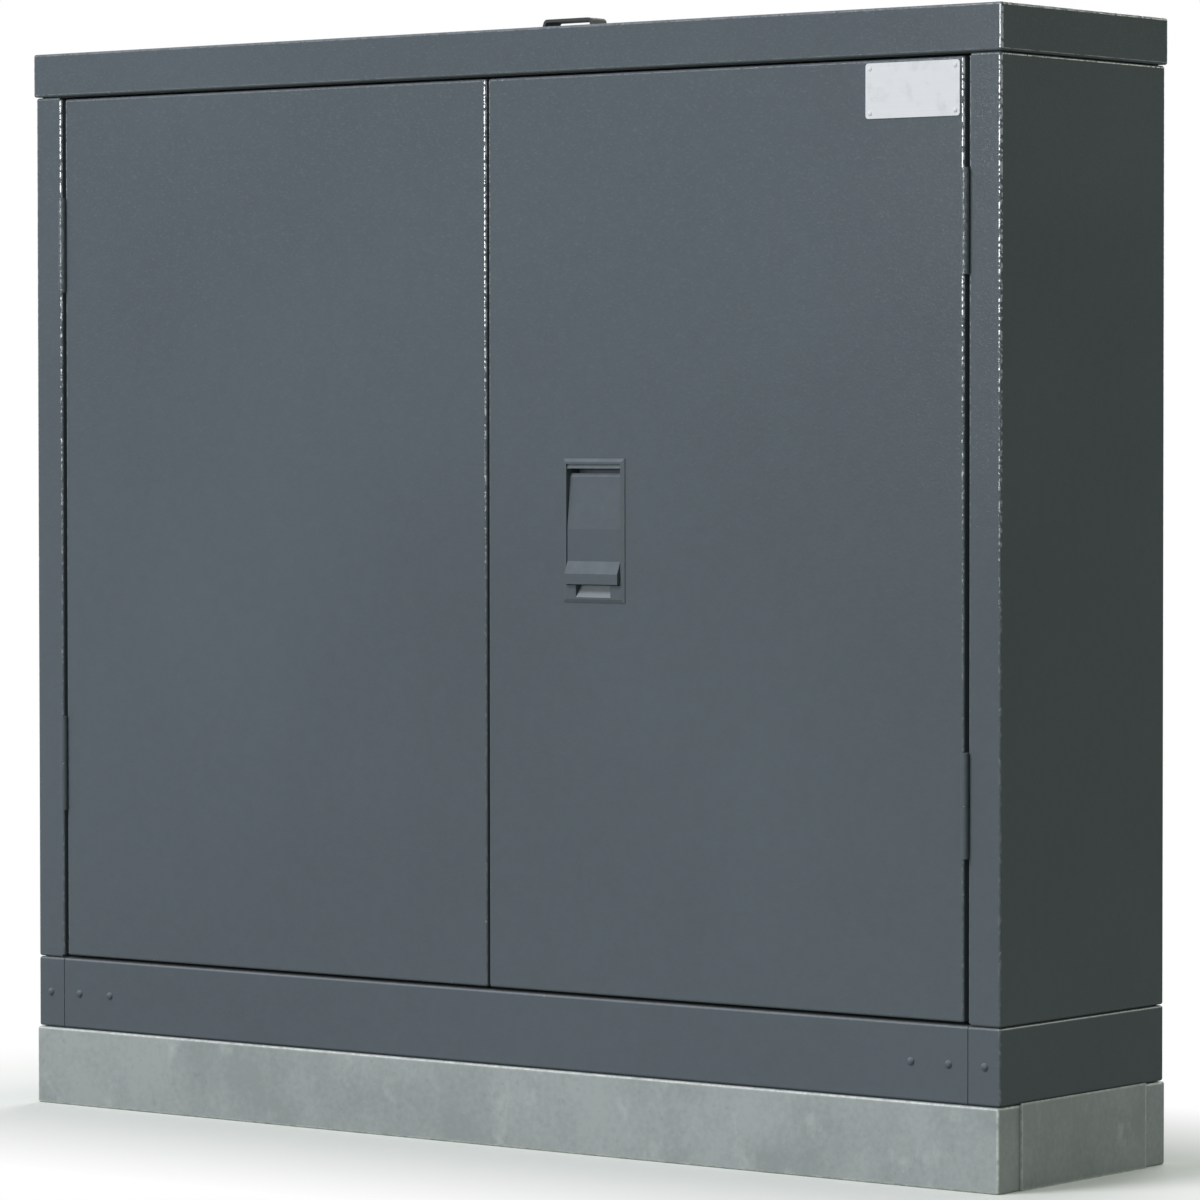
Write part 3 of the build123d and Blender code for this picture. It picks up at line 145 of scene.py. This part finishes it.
# Pale salt colour, also used as a painted highlight along edges and folds
ZINC_SALT_AND_HIGHLIGHT = (0.62, 0.65, 0.65, 1.0)
ZINC_SPOT = (0.2, 0.225, 0.225, 1.0)
CLOUD_SCALE = 9.0
CLOUD_SHARE = 0.64
RUN_STRETCH = (70.0, 70.0, 9.0)
RUN_SHARE = 0.08
MOTTLE_SCALE = 150.0
MOTTLE_SHARE = 0.28
ZINC_TONES = (0.41, 0.59)
SPOT_SCALE = 130.0
SPOT_SPAN = (0.62, 0.74)
SPOT_COVER = (0.0, 0.3)
BLOOM_STRETCH = (27.0, 27.0, 19.0)
BLOOM_SPAN = (0.58, 0.78)
BLOOM_COVER = (0.0, 0.36)
RAGGED_SCALE = 160.0
RAGGED_SPAN = (0.35, 0.6)
RAGGED_COVER = (0.25, 1.0)
ZINC_EDGE = 0.004
ZINC_EDGE_TURN = (0.01, 0.12)
ZINC_FOLD_BEND = (0.005, 0.06)
ZINC_ROUGHNESS = (0.62, 0.5)
ZINC_METAL = 0.27
ZINC_SPECULAR = 0.25
ZINC_BUMP_SCALE = 260.0
ZINC_BUMP = 0.25

# Plated bars and fasteners
PLATED_DARK = (0.42, 0.43, 0.42, 1.0)
PLATED_LIGHT = (0.62, 0.63, 0.6, 1.0)
PLATED_STRETCH = (900.0, 900.0, 18.0)
PLATED_PATCH_SCALE = 30.0
PLATED_ROUGHNESS = (0.26, 0.46)
PLATED_BUMP = 0.12

# Blackened lifting bracket
BLACK_DARK = (0.035, 0.038, 0.038, 1.0)
BLACK_LIGHT = (0.055, 0.058, 0.058, 1.0)
# Lighter fold colour: partly rubbing, partly a painted highlight
BLACK_RUBBED_AND_LIT = (0.13, 0.135, 0.135, 1.0)
BLACK_PATCH_SCALE = 40.0
BLACK_FOLD_BEND = (0.02, 0.2)
BLACK_RUBBED_AND_LIT_COVER = 0.4
BLACK_ROUGHNESS = (0.45, 0.6)
BLACK_SPECULAR = 0.3
BLACK_BUMP_SCALE = 700.0
BLACK_BUMP = 0.3

# Rubber seals
SEAL_DARK = (0.035, 0.037, 0.038, 1.0)
SEAL_LIGHT = (0.072, 0.076, 0.078, 1.0)
SEAL_PORE_SCALE = 900.0
SEAL_ROUGHNESS = (0.7, 0.9)
SEAL_SPECULAR = 0.3
SEAL_BUMP = 0.4

# Plate on the right door
PLATE_DARK = (0.745, 0.735, 0.825, 1.0)
PLATE_LIGHT = (0.81, 0.8, 0.89, 1.0)
PLATE_DIRT = (0.45, 0.46, 0.47, 1.0)
PLATE_STRETCH = (14.0, 700.0, 1400.0)
PLATE_DIRT_SCALE = 60.0
PLATE_DIRT_SPAN = (0.55, 0.8)
PLATE_DIRT_COVER = (0.0, 0.4)
PLATE_ROUGHNESS = (0.4, 0.55)
PLATE_SPECULAR = 0.3
PLATE_BUMP = 0.08

# Copper, glass polyester, mouldings and fuses inside
COPPER_BRIGHT = (0.83, 0.44, 0.27, 1.0)
COPPER_BROWN = (0.47, 0.22, 0.13, 1.0)
TARNISH_SCALE = 16.0
TARNISH_SPAN = (0.4, 0.66)
COPPER_STRETCH = (20.0, 900.0, 900.0)
COPPER_ROUGHNESS = (0.24, 0.5)
COPPER_BUMP = 0.1
POLYESTER_DARK = (0.27, 0.055, 0.035, 1.0)
POLYESTER_LIGHT = (0.36, 0.085, 0.05, 1.0)
FIBRE_SCALE = 120.0
FIBRE_SPAN = (0.35, 0.65)
POLYESTER_ROUGHNESS = (0.42, 0.58)
POLYESTER_BUMP = 0.15
MOULDING_DARK = (0.045, 0.048, 0.05, 1.0)
MOULDING_LIGHT = (0.062, 0.066, 0.07, 1.0)
# Lighter fold colour: partly rubbing, partly a painted highlight
MOULDING_RUBBED_AND_LIT = (0.13, 0.135, 0.14, 1.0)
MOULDING_SCALE = 9.0
MOULDING_GRAIN_SCALE = 1300.0
MOULDING_FOLD_BEND = (0.05, 0.24)
MOULDING_RUBBED_AND_LIT_COVER = 0.3
MOULDING_ROUGHNESS = (0.42, 0.56)
MOULDING_BUMP = 0.3
CERAMIC_DARK = (0.72, 0.69, 0.62, 1.0)
CERAMIC_LIGHT = (0.8, 0.78, 0.72, 1.0)
FUSE_CAP_DARK = (0.5, 0.5, 0.49, 1.0)
FUSE_CAP_LIGHT = (0.68, 0.68, 0.66, 1.0)
FUSE_PITCH = 0.185
FUSE_MIDDLE = 0.673
FUSE_HALF_BODY = 0.033
FUSE_HAZE_SCALE = 70.0
FUSE_ROUGHNESS = (0.18, 0.34)
FUSE_BUMP = 0.05


class Graph:
    """Small helper that builds one material's node graph."""

    def __init__(self, name):
        self.material = bpy.data.materials.new(name)
        self.material.use_nodes = True
        self.tree = self.material.node_tree
        self.tree.nodes.clear()
        self.output = self.tree.nodes.new("ShaderNodeOutputMaterial")
        self.shader = self.tree.nodes.new("ShaderNodeBsdfPrincipled")
        self.join(self.shader.outputs[0], self.output.inputs["Surface"])

    def node(self, kind, **settings):
        made = self.tree.nodes.new(kind)
        for name, value in settings.items():
            setattr(made, name, value)
        return made

    def join(self, source, target):
        """Link a socket, or set the target to a plain value."""
        if isinstance(source, bpy.types.NodeSocket):
            self.tree.links.new(source, target)
        else:
            target.default_value = source

    def place(self):
        """Coordinates in the cabinet's own frame, in metres."""
        return self.node("ShaderNodeTexCoord").outputs["Object"]

    def height(self):
        """Height above the ground, in metres."""
        parts = self.node("ShaderNodeSeparateXYZ")
        self.join(self.place(), parts.inputs[0])
        return parts.outputs["Z"]

    def stretched(self, factors):
        """Coordinates scaled by a factor along each axis."""
        scaled = self.node("ShaderNodeMapping")
        self.join(self.place(), scaled.inputs["Vector"])
        scaled.inputs["Scale"].default_value = factors
        return scaled.outputs["Vector"]

    def noise(self, scale=1.0, detail=2.0, roughness=0.5, vector=None):
        made = self.node("ShaderNodeTexNoise")
        self.join(vector or self.place(), made.inputs["Vector"])
        made.inputs["Scale"].default_value = scale
        made.inputs["Detail"].default_value = detail
        made.inputs["Roughness"].default_value = roughness
        return made.outputs["Fac"]

    def spread(self, value, span, to=FULL_SPAN):
        """Map a span of a value to another span, clamped."""
        made = self.node("ShaderNodeMapRange")
        self.join(value, made.inputs["Value"])
        made.inputs["From Min"].default_value, made.inputs["From Max"].default_value = span
        made.inputs["To Min"].default_value, made.inputs["To Max"].default_value = to
        return made.outputs["Result"]

    def math(self, operation, first, second=0.0):
        made = self.node("ShaderNodeMath", operation=operation)
        self.join(first, made.inputs[0])
        self.join(second, made.inputs[1])
        return made.outputs[0]

    def product(self, first, *others):
        """All the values multiplied."""
        for other in others:
            first = self.math("MULTIPLY", first, other)
        return first

    def mix(self, factor, first, second):
        made = self.node("ShaderNodeMix", data_type="RGBA")
        self.join(factor, made.inputs["Factor"])
        self.join(first, made.inputs["A"])
        self.join(second, made.inputs["B"])
        colors = [s for s in made.outputs if s.type == "RGBA"]
        return colors[0]

    def normal_parts(self, absolute=False):
        """The surface normal's components in the cabinet's own frame."""
        normal = self.node("ShaderNodeTexCoord").outputs["Normal"]
        if absolute:
            size = self.node("ShaderNodeVectorMath", operation="ABSOLUTE")
            self.join(normal, size.inputs[0])
            normal = size.outputs["Vector"]
        parts = self.node("ShaderNodeSeparateXYZ")
        self.join(normal, parts.inputs[0])
        return parts.outputs

    def fold_mask(self, bend):
        """One on curved folds, zero on faces square to the cabinet's axes."""
        parts = self.normal_parts(absolute=True)
        widest = self.math("MAXIMUM", parts["X"], parts["Y"])
        widest = self.math("MAXIMUM", widest, parts["Z"])
        return self.spread(self.math("SUBTRACT", 1.0, widest), bend)

    def upward(self, tilt):
        """Rises from zero to one over a span of tilts towards the sky."""
        return self.spread(self.normal_parts()["Z"], tilt)

    def edge_mask(self, radius, turn):
        """One along edges and tight folds, zero on open faces."""
        rounded = self.node("ShaderNodeBevel", samples=BEVEL_SAMPLES)
        rounded.inputs["Radius"].default_value = radius
        likeness = self.node("ShaderNodeVectorMath", operation="DOT_PRODUCT")
        self.join(rounded.outputs["Normal"], likeness.inputs[0])
        self.join(self.node("ShaderNodeNewGeometry").outputs["Normal"], likeness.inputs[1])
        return self.spread(self.math("SUBTRACT", 1.0, likeness.outputs["Value"]), turn)

    def bump(self, height, strength, distance=BUMP_DEPTH):
        made = self.node("ShaderNodeBump")
        made.inputs["Strength"].default_value = strength
        made.inputs["Distance"].default_value = distance
        self.join(height, made.inputs["Height"])
        self.join(made.outputs["Normal"], self.shader.inputs["Normal"])
        self.join(made.outputs["Normal"], self.shader.inputs["Coat Normal"])

    def finish(self, color, roughness, metallic=0.0, specular=0.5):
        self.join(color, self.shader.inputs["Base Color"])
        self.join(roughness, self.shader.inputs["Roughness"])
        self.join(metallic, self.shader.inputs["Metallic"])
        self.shader.inputs["Specular IOR Level"].default_value = specular
        return self.material


def shine_folds(g, color, strength):
    """Glossy folds with small pale chips that are partly chips and partly painted glints, broken into dashes
    by the peel and dulled near the ground.
    """
    fold = g.fold_mask(FOLD_BEND)
    on_ledge = g.upward(LEDGE_TILT)
    dashes = g.math("ADD", g.noise(DASH_SCALE, detail=1.0), g.spread(g.height(), DASH_HEIGHTS, DASH_SHIFTS))
    broken = g.spread(dashes, DASH_SPAN, (DASH_FLOOR * strength, strength))
    washed = g.product(g.spread(g.height(), WASHED_HEIGHTS, WASHED_SHARES), g.upward(UNDERSIDE_TILT))
    gloss = g.product(broken, washed, g.spread(on_ledge, FULL_SPAN, LEDGE_SHARES))
    base_ledge = g.spread(g.height(), (BASE_TOP, BASE_TOP + LEDGE_FADE), (LEDGE_GLOSS * strength, 0.0))
    gloss = g.product(fold, g.math("MAXIMUM", gloss, g.product(base_ledge, on_ledge)))
    g.join(g.math("MAXIMUM", gloss, FACE_GLOSS), g.shader.inputs["Coat Weight"])
    # Pale chips on the folds are partly paint chips and partly painted glints
    chips_and_glints = g.spread(g.noise(CHIP_AND_GLINT_SCALE, detail=3.0, roughness=0.6), CHIP_AND_GLINT_SPAN, (0.0, CHIP_AND_GLINT_COVER * strength))
    return g.mix(g.product(fold, chips_and_glints), color, PAINT_CHIP_AND_GLINT)


def paint_material(name, fold_gloss=0.0, worn_and_lit_below=None):
    """Dull powder paint: fine peel, faint mottling, painted glint specks, dust on ledges that doubles as
    painted top light, and wear with painted light where hands reach in.
    """
    g = Graph(name)
    fine = g.noise(FINE_SCALE, detail=4.0, roughness=0.6)
    broad = g.noise(BROAD_SCALE, detail=4.0)
    tone = g.math("ADD", g.product(broad, BROAD_SHARE), g.product(fine, FINE_SHARE))
    color = g.mix(g.spread(tone, PAINT_TONES), PAINT_DARK, PAINT_LIGHT)
    # Light specks are painted glints of the peel, fading out lower down
    glint_specks = g.spread(g.noise(vector=g.stretched(GLINT_SPECK_STRETCH)), GLINT_SPECK_SPAN, GLINT_SPECK_COVER)
    color = g.mix(g.product(glint_specks, g.spread(g.height(), GLINT_HEIGHTS, GLINT_SHARES)), color, PAINT_GLINT_SPECK)
    # Pale dust on upward faces is partly dust and partly painted top light; it thins out right at the door
    # tops
    from_door_top = g.math("ABSOLUTE", g.math("SUBTRACT", g.height(), DOOR_TOP))
    sheltered = g.spread(from_door_top, SHELTER_REACH, SHELTER_SHARES)
    dust_and_top_light = g.product(g.upward(DUST_AND_TOP_LIGHT_TILT), g.spread(fine, NOISE_SPAN, DUST_AND_TOP_LIGHT_COVER), sheltered)
    color = g.mix(dust_and_top_light, color, PAINT_DUST_AND_TOP_LIGHT)
    if worn_and_lit_below is not None:
        # Pale upward faces low in the scoop are partly finger wear and partly painted light
        rubbed_and_lit = g.product(g.math("LESS_THAN", g.height(), worn_and_lit_below), g.upward(WORN_AND_LIT_TILT))
        color = g.mix(g.product(rubbed_and_lit, g.spread(fine, NOISE_SPAN, WORN_AND_LIT_COVER)), color, PAINT_WORN_AND_LIT)
    if fold_gloss > 0.0:
        color = shine_folds(g, color, fold_gloss)
    else:
        g.shader.inputs["Coat Weight"].default_value = FACE_GLOSS
    g.shader.inputs["Coat Roughness"].default_value = FILM_ROUGHNESS
    g.shader.inputs["Coat IOR"].default_value = FILM_IOR
    roughness = g.spread(g.noise(PAINT_PATCH_SCALE, detail=5.0), NOISE_SPAN, PAINT_ROUGHNESS)
    grain = g.product(g.noise(GRAIN_SCALE, detail=1.0), GRAIN_SHARE)
    g.bump(g.math("ADD", g.noise(PEEL_SCALE), grain), PEEL_STRENGTH)
    return g.finish(color, roughness, specular=PAINT_SPECULAR)


def galvanised_material():
    """Dull hot-dip zinc: cloudy patches, faint runs, dark spots, salt bloom, and pale ragged edges that are
    partly white rust and partly a painted highlight.
    """
    g = Graph("galvanised")
    clouds = g.noise(CLOUD_SCALE, detail=5.0, roughness=0.55)
    runs = g.noise(detail=4.0, vector=g.stretched(RUN_STRETCH))
    mottle = g.noise(MOTTLE_SCALE, detail=3.0, roughness=0.6)
    tone = g.math("ADD", g.product(clouds, CLOUD_SHARE), g.product(runs, RUN_SHARE))
    tone = g.math("ADD", tone, g.product(mottle, MOTTLE_SHARE))
    color = g.mix(g.spread(tone, ZINC_TONES), ZINC_DARK, ZINC_LIGHT)
    spots = g.noise(SPOT_SCALE, detail=3.0, roughness=0.6)
    color = g.mix(g.spread(spots, SPOT_SPAN, SPOT_COVER), color, ZINC_SPOT)
    bloom = g.noise(detail=5.0, roughness=0.65, vector=g.stretched(BLOOM_STRETCH))
    color = g.mix(g.spread(bloom, BLOOM_SPAN, BLOOM_COVER), color, ZINC_SALT_AND_HIGHLIGHT)
    # Pale ragged edges and folds are partly white rust and partly a painted highlight
    ragged = g.spread(g.noise(RAGGED_SCALE, detail=4.0, roughness=0.7), RAGGED_SPAN, RAGGED_COVER)
    salt_and_highlight_edge = g.math("MAXIMUM", g.edge_mask(ZINC_EDGE, ZINC_EDGE_TURN), g.fold_mask(ZINC_FOLD_BEND))
    color = g.mix(g.product(salt_and_highlight_edge, ragged), color, ZINC_SALT_AND_HIGHLIGHT)
    g.bump(g.noise(ZINC_BUMP_SCALE, detail=3.0), ZINC_BUMP)
    return g.finish(color, g.spread(tone, NOISE_SPAN, ZINC_ROUGHNESS), ZINC_METAL, ZINC_SPECULAR)


def hardware_material():
    """Bright zinc plating with fine drawn lines along the bars."""
    g = Graph("hardware")
    lines = g.noise(detail=3.0, vector=g.stretched(PLATED_STRETCH))
    color = g.mix(g.noise(PLATED_PATCH_SCALE, detail=4.0), PLATED_DARK, PLATED_LIGHT)
    g.bump(lines, PLATED_BUMP, FINE_BUMP_DEPTH)
    return g.finish(color, g.spread(lines, NOISE_SPAN, PLATED_ROUGHNESS), metallic=1.0)


def black_steel_material():
    """Blackened steel, a little lighter on its folds, partly from rubbing and partly as a painted highlight.
    """
    g = Graph("black_steel")
    patches = g.noise(BLACK_PATCH_SCALE, detail=4.0)
    color = g.mix(patches, BLACK_DARK, BLACK_LIGHT)
    color = g.mix(g.product(g.fold_mask(BLACK_FOLD_BEND), BLACK_RUBBED_AND_LIT_COVER), color, BLACK_RUBBED_AND_LIT)
    g.bump(g.noise(BLACK_BUMP_SCALE), BLACK_BUMP, FINE_BUMP_DEPTH)
    return g.finish(color, g.spread(patches, NOISE_SPAN, BLACK_ROUGHNESS), specular=BLACK_SPECULAR)


def seal_material():
    """Weathered cellular rubber, gone from black to dark grey."""
    g = Graph("seal")
    pores = g.noise(SEAL_PORE_SCALE)
    g.bump(pores, SEAL_BUMP)
    roughness = g.spread(pores, NOISE_SPAN, SEAL_ROUGHNESS)
    return g.finish(g.mix(pores, SEAL_DARK, SEAL_LIGHT), roughness, specular=SEAL_SPECULAR)


def plate_material():
    """Pale lacquered aluminium, faintly brushed and a little dirty."""
    g = Graph("plate")
    lines = g.noise(vector=g.stretched(PLATE_STRETCH))
    dirt = g.noise(PLATE_DIRT_SCALE, detail=5.0, roughness=0.65)
    color = g.mix(lines, PLATE_DARK, PLATE_LIGHT)
    color = g.mix(g.spread(dirt, PLATE_DIRT_SPAN, PLATE_DIRT_COVER), color, PLATE_DIRT)
    g.bump(lines, PLATE_BUMP, FINE_BUMP_DEPTH)
    return g.finish(color, g.spread(dirt, NOISE_SPAN, PLATE_ROUGHNESS), specular=PLATE_SPECULAR)


def copper_material():
    """Plain copper bar with brown tarnish."""
    g = Graph("copper")
    tarnish = g.noise(TARNISH_SCALE, detail=5.0, roughness=0.62)
    color = g.mix(g.spread(tarnish, TARNISH_SPAN), COPPER_BRIGHT, COPPER_BROWN)
    g.bump(g.noise(vector=g.stretched(COPPER_STRETCH)), COPPER_BUMP, FINE_BUMP_DEPTH)
    return g.finish(color, g.spread(tarnish, NOISE_SPAN, COPPER_ROUGHNESS), metallic=1.0)


def insulator_material():
    """Red-brown glass polyester with a fibre mottle."""
    g = Graph("insulator")
    fibre = g.noise(FIBRE_SCALE, detail=4.0, roughness=0.7)
    color = g.mix(g.spread(fibre, FIBRE_SPAN), POLYESTER_DARK, POLYESTER_LIGHT)
    g.bump(fibre, POLYESTER_BUMP)
    return g.finish(color, g.spread(fibre, NOISE_SPAN, POLYESTER_ROUGHNESS))


def moulding_material():
    """Dark fine-textured moulding of the fuse rails."""
    g = Graph("moulding")
    broad = g.noise(MOULDING_SCALE, detail=3.0)
    color = g.mix(broad, MOULDING_DARK, MOULDING_LIGHT)
    # Lighter folds are partly rubbing and partly a painted highlight
    rubbed_and_lit = g.product(g.fold_mask(MOULDING_FOLD_BEND), MOULDING_RUBBED_AND_LIT_COVER)
    color = g.mix(rubbed_and_lit, color, MOULDING_RUBBED_AND_LIT)
    g.bump(g.noise(MOULDING_GRAIN_SCALE), MOULDING_BUMP, FINE_BUMP_DEPTH)
    return g.finish(color, g.spread(broad, NOISE_SPAN, MOULDING_ROUGHNESS))


def fuse_material():
    """Glazed ceramic between plated end caps; the caps repeat at each busbar level."""
    g = Graph("fuse")
    shifted = g.math("ADD", g.height(), FUSE_PITCH / 2 - FUSE_MIDDLE)
    within = g.math("SUBTRACT", g.math("FLOORED_MODULO", shifted, FUSE_PITCH), FUSE_PITCH / 2)
    metal = g.math("GREATER_THAN", g.math("ABSOLUTE", within), FUSE_HALF_BODY)
    haze = g.noise(FUSE_HAZE_SCALE, detail=4.0)
    ceramic = g.mix(haze, CERAMIC_DARK, CERAMIC_LIGHT)
    cap = g.mix(haze, FUSE_CAP_DARK, FUSE_CAP_LIGHT)
    g.bump(haze, FUSE_BUMP)
    return g.finish(g.mix(metal, ceramic, cap), g.spread(haze, NOISE_SPAN, FUSE_ROUGHNESS), metallic=metal)


FINISHES = {
    "paint": paint_material("paint", fold_gloss=1.0),
    "galvanised": galvanised_material(),
    "hardware": hardware_material(),
    "seal": seal_material(),
    "plate": plate_material(),
    "copper": copper_material(),
    "insulator": insulator_material(),
    "moulding": moulding_material(),
    "fuse": fuse_material(),
}
DULL_PAINT = paint_material("dull_paint")
HINGE_PAINT = paint_material("hinge_paint", fold_gloss=HINGE_GLOSS)
BLACK_STEEL = black_steel_material()
NODE_FINISHES = {
    "base_screws": DULL_PAINT,
    "lever": DULL_PAINT,
    "handle_dish": paint_material("worn_and_lit_paint", worn_and_lit_below=SCOOP_TOP),
    "frame_hinges_left": HINGE_PAINT,
    "frame_hinges_right": HINGE_PAINT,
    "door_hinges_left": HINGE_PAINT,
    "door_hinges_right": HINGE_PAINT,
    "lifting_bracket": BLACK_STEEL,
    "lifting_bolts": BLACK_STEEL,
}


def dress_nodes():
    """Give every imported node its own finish, or else the finish of its slot."""
    for row in frame["record"]["subparts"]:
        node = row["node"]
        mesh = frame["nodes"][node].data
        mesh.materials.clear()
        mesh.materials.append(NODE_FINISHES.get(node, FINISHES[row["material_slot"]]))


def aim(place, target):
    """Rotation that points a lamp from its place at the target."""
    return (Vector(target) - Vector(place)).to_track_quat("-Z", "Y").to_euler()


def area_light(name, place, size, power, color, target=BODY_MIDDLE):
    lamp = bpy.data.lights.new(name, "AREA")
    lamp.shape = "RECTANGLE"
    lamp.size, lamp.size_y = size
    lamp.energy = power
    lamp.color = color
    holder = bpy.data.objects.new(name, lamp)
    holder.location = place
    holder.rotation_euler = aim(place, target)
    bpy.context.scene.collection.objects.link(holder)


def seen_directly(tree):
    """One for camera, glossy and transmission rays."""
    path = tree.nodes.new("ShaderNodeLightPath")
    total = path.outputs["Is Camera Ray"]
    for name in ("Is Glossy Ray", "Is Transmission Ray"):
        largest = tree.nodes.new("ShaderNodeMath")
        largest.operation = "MAXIMUM"
        tree.links.new(total, largest.inputs[0])
        tree.links.new(path.outputs[name], largest.inputs[1])
        total = largest.outputs[0]
    return total


def surround():
    """White behind the object, soft sky light on it that grows towards the zenith."""
    world = bpy.data.worlds.new("surround")
    bpy.context.scene.world = world
    world.use_nodes = True
    tree = world.node_tree
    tree.nodes.clear()
    direction = tree.nodes.new("ShaderNodeTexCoord").outputs["Generated"]
    parts = tree.nodes.new("ShaderNodeSeparateXYZ")
    tree.links.new(direction, parts.inputs[0])
    tint = tree.nodes.new("ShaderNodeMix")
    tint.data_type = "RGBA"
    tree.links.new(parts.outputs["Z"], tint.inputs["Factor"])
    color_in = [s for s in tint.inputs if s.type == "RGBA"]
    color_in[0].default_value = HORIZON_COLOR
    color_in[1].default_value = ZENITH_COLOR
    rise = tree.nodes.new("ShaderNodeMapRange")
    tree.links.new(parts.outputs["Z"], rise.inputs["Value"])
    rise.inputs["To Min"].default_value = SKY_HORIZON
    rise.inputs["To Max"].default_value = SKY_ZENITH
    ambient = tree.nodes.new("ShaderNodeBackground")
    tree.links.new([s for s in tint.outputs if s.type == "RGBA"][0], ambient.inputs["Color"])
    tree.links.new(rise.outputs["Result"], ambient.inputs["Strength"])
    backdrop = tree.nodes.new("ShaderNodeBackground")
    backdrop.inputs["Color"].default_value = WHITE
    backdrop.inputs["Strength"].default_value = WHITE_STRENGTH
    blend = tree.nodes.new("ShaderNodeMixShader")
    output = tree.nodes.new("ShaderNodeOutputWorld")
    tree.links.new(seen_directly(tree), blend.inputs[0])
    tree.links.new(ambient.outputs[0], blend.inputs[1])
    tree.links.new(backdrop.outputs[0], blend.inputs[2])
    tree.links.new(blend.outputs[0], output.inputs["Surface"])


def beyond_object(g):
    """Distance of a floor point from the rectangle that the object covers."""
    point = g.place()
    half_size = (cad_box[1].x, cad_box[1].y, 0.0)
    origin = (0.0, 0.0, 0.0)
    for operation, other in (("ABSOLUTE", origin), ("SUBTRACT", half_size), ("MAXIMUM", origin)):
        step = g.node("ShaderNodeVectorMath", operation=operation)
        g.join(point, step.inputs[0])
        g.join(other, step.inputs[1])
        point = step.outputs["Vector"]
    distance = g.node("ShaderNodeVectorMath", operation="LENGTH")
    g.join(point, distance.inputs[0])
    return distance.outputs["Value"]


def floor():
    """Pale round floor that keeps the shadow near the object and fades to white further out."""
    mesh = bpy.data.meshes.new("floor")
    builder = bmesh.new()
    bmesh.ops.create_circle(builder, cap_ends=True, segments=FLOOR_SEGMENTS, radius=FLOOR_RADIUS)
    builder.to_mesh(mesh)
    builder.free()
    ground = bpy.data.objects.new("floor", mesh)
    ground.location = (0.0, 0.0, cad_box[0].z)
    bpy.context.scene.collection.objects.link(ground)
    g = Graph("floor")
    far = g.spread(beyond_object(g), FLOOR_FADE)
    white = g.node("ShaderNodeEmission")
    white.inputs["Color"].default_value = WHITE
    white.inputs["Strength"].default_value = WHITE_STRENGTH
    blend = g.node("ShaderNodeMixShader")
    g.join(g.product(far, seen_directly(g.tree)), blend.inputs[0])
    g.join(g.shader.outputs[0], blend.inputs[1])
    g.join(white.outputs[0], blend.inputs[2])
    g.join(blend.outputs[0], g.output.inputs["Surface"])
    color = g.mix(seen_directly(g.tree), FLOOR_BOUNCE, FLOOR_COLOR)
    mesh.materials.append(g.finish(color, FLOOR_ROUGHNESS, specular=0.0))


def camera():
    azimuth = math.radians(CAMERA_AZIMUTH)
    elevation = math.radians(CAMERA_ELEVATION)
    back = Vector((
        math.sin(azimuth) * math.cos(elevation),
        -math.cos(azimuth) * math.cos(elevation),
        math.sin(elevation),
    ))
    right = Vector((0.0, 0.0, 1.0)).cross(back).normalized()
    up = back.cross(right)
    turn = Matrix((right, up, back)).transposed().to_4x4()
    lens = bpy.data.cameras.new("camera")
    lens.lens = CAMERA_LENS
    lens.sensor_width = CAMERA_SENSOR
    holder = bpy.data.objects.new("camera", lens)
    holder.matrix_world = (
        Matrix.Translation(CAMERA_PLACE) @ turn @ Matrix.Rotation(math.radians(CAMERA_ROLL), 4, "Z")
    )
    bpy.context.scene.collection.objects.link(holder)
    bpy.context.scene.camera = holder


dress_nodes()
surround()
floor()
for lamp_name, lamp_values in LAMPS.items():
    area_light(lamp_name, **lamp_values)
camera()
bpy.context.scene.view_settings.view_transform = "Standard"
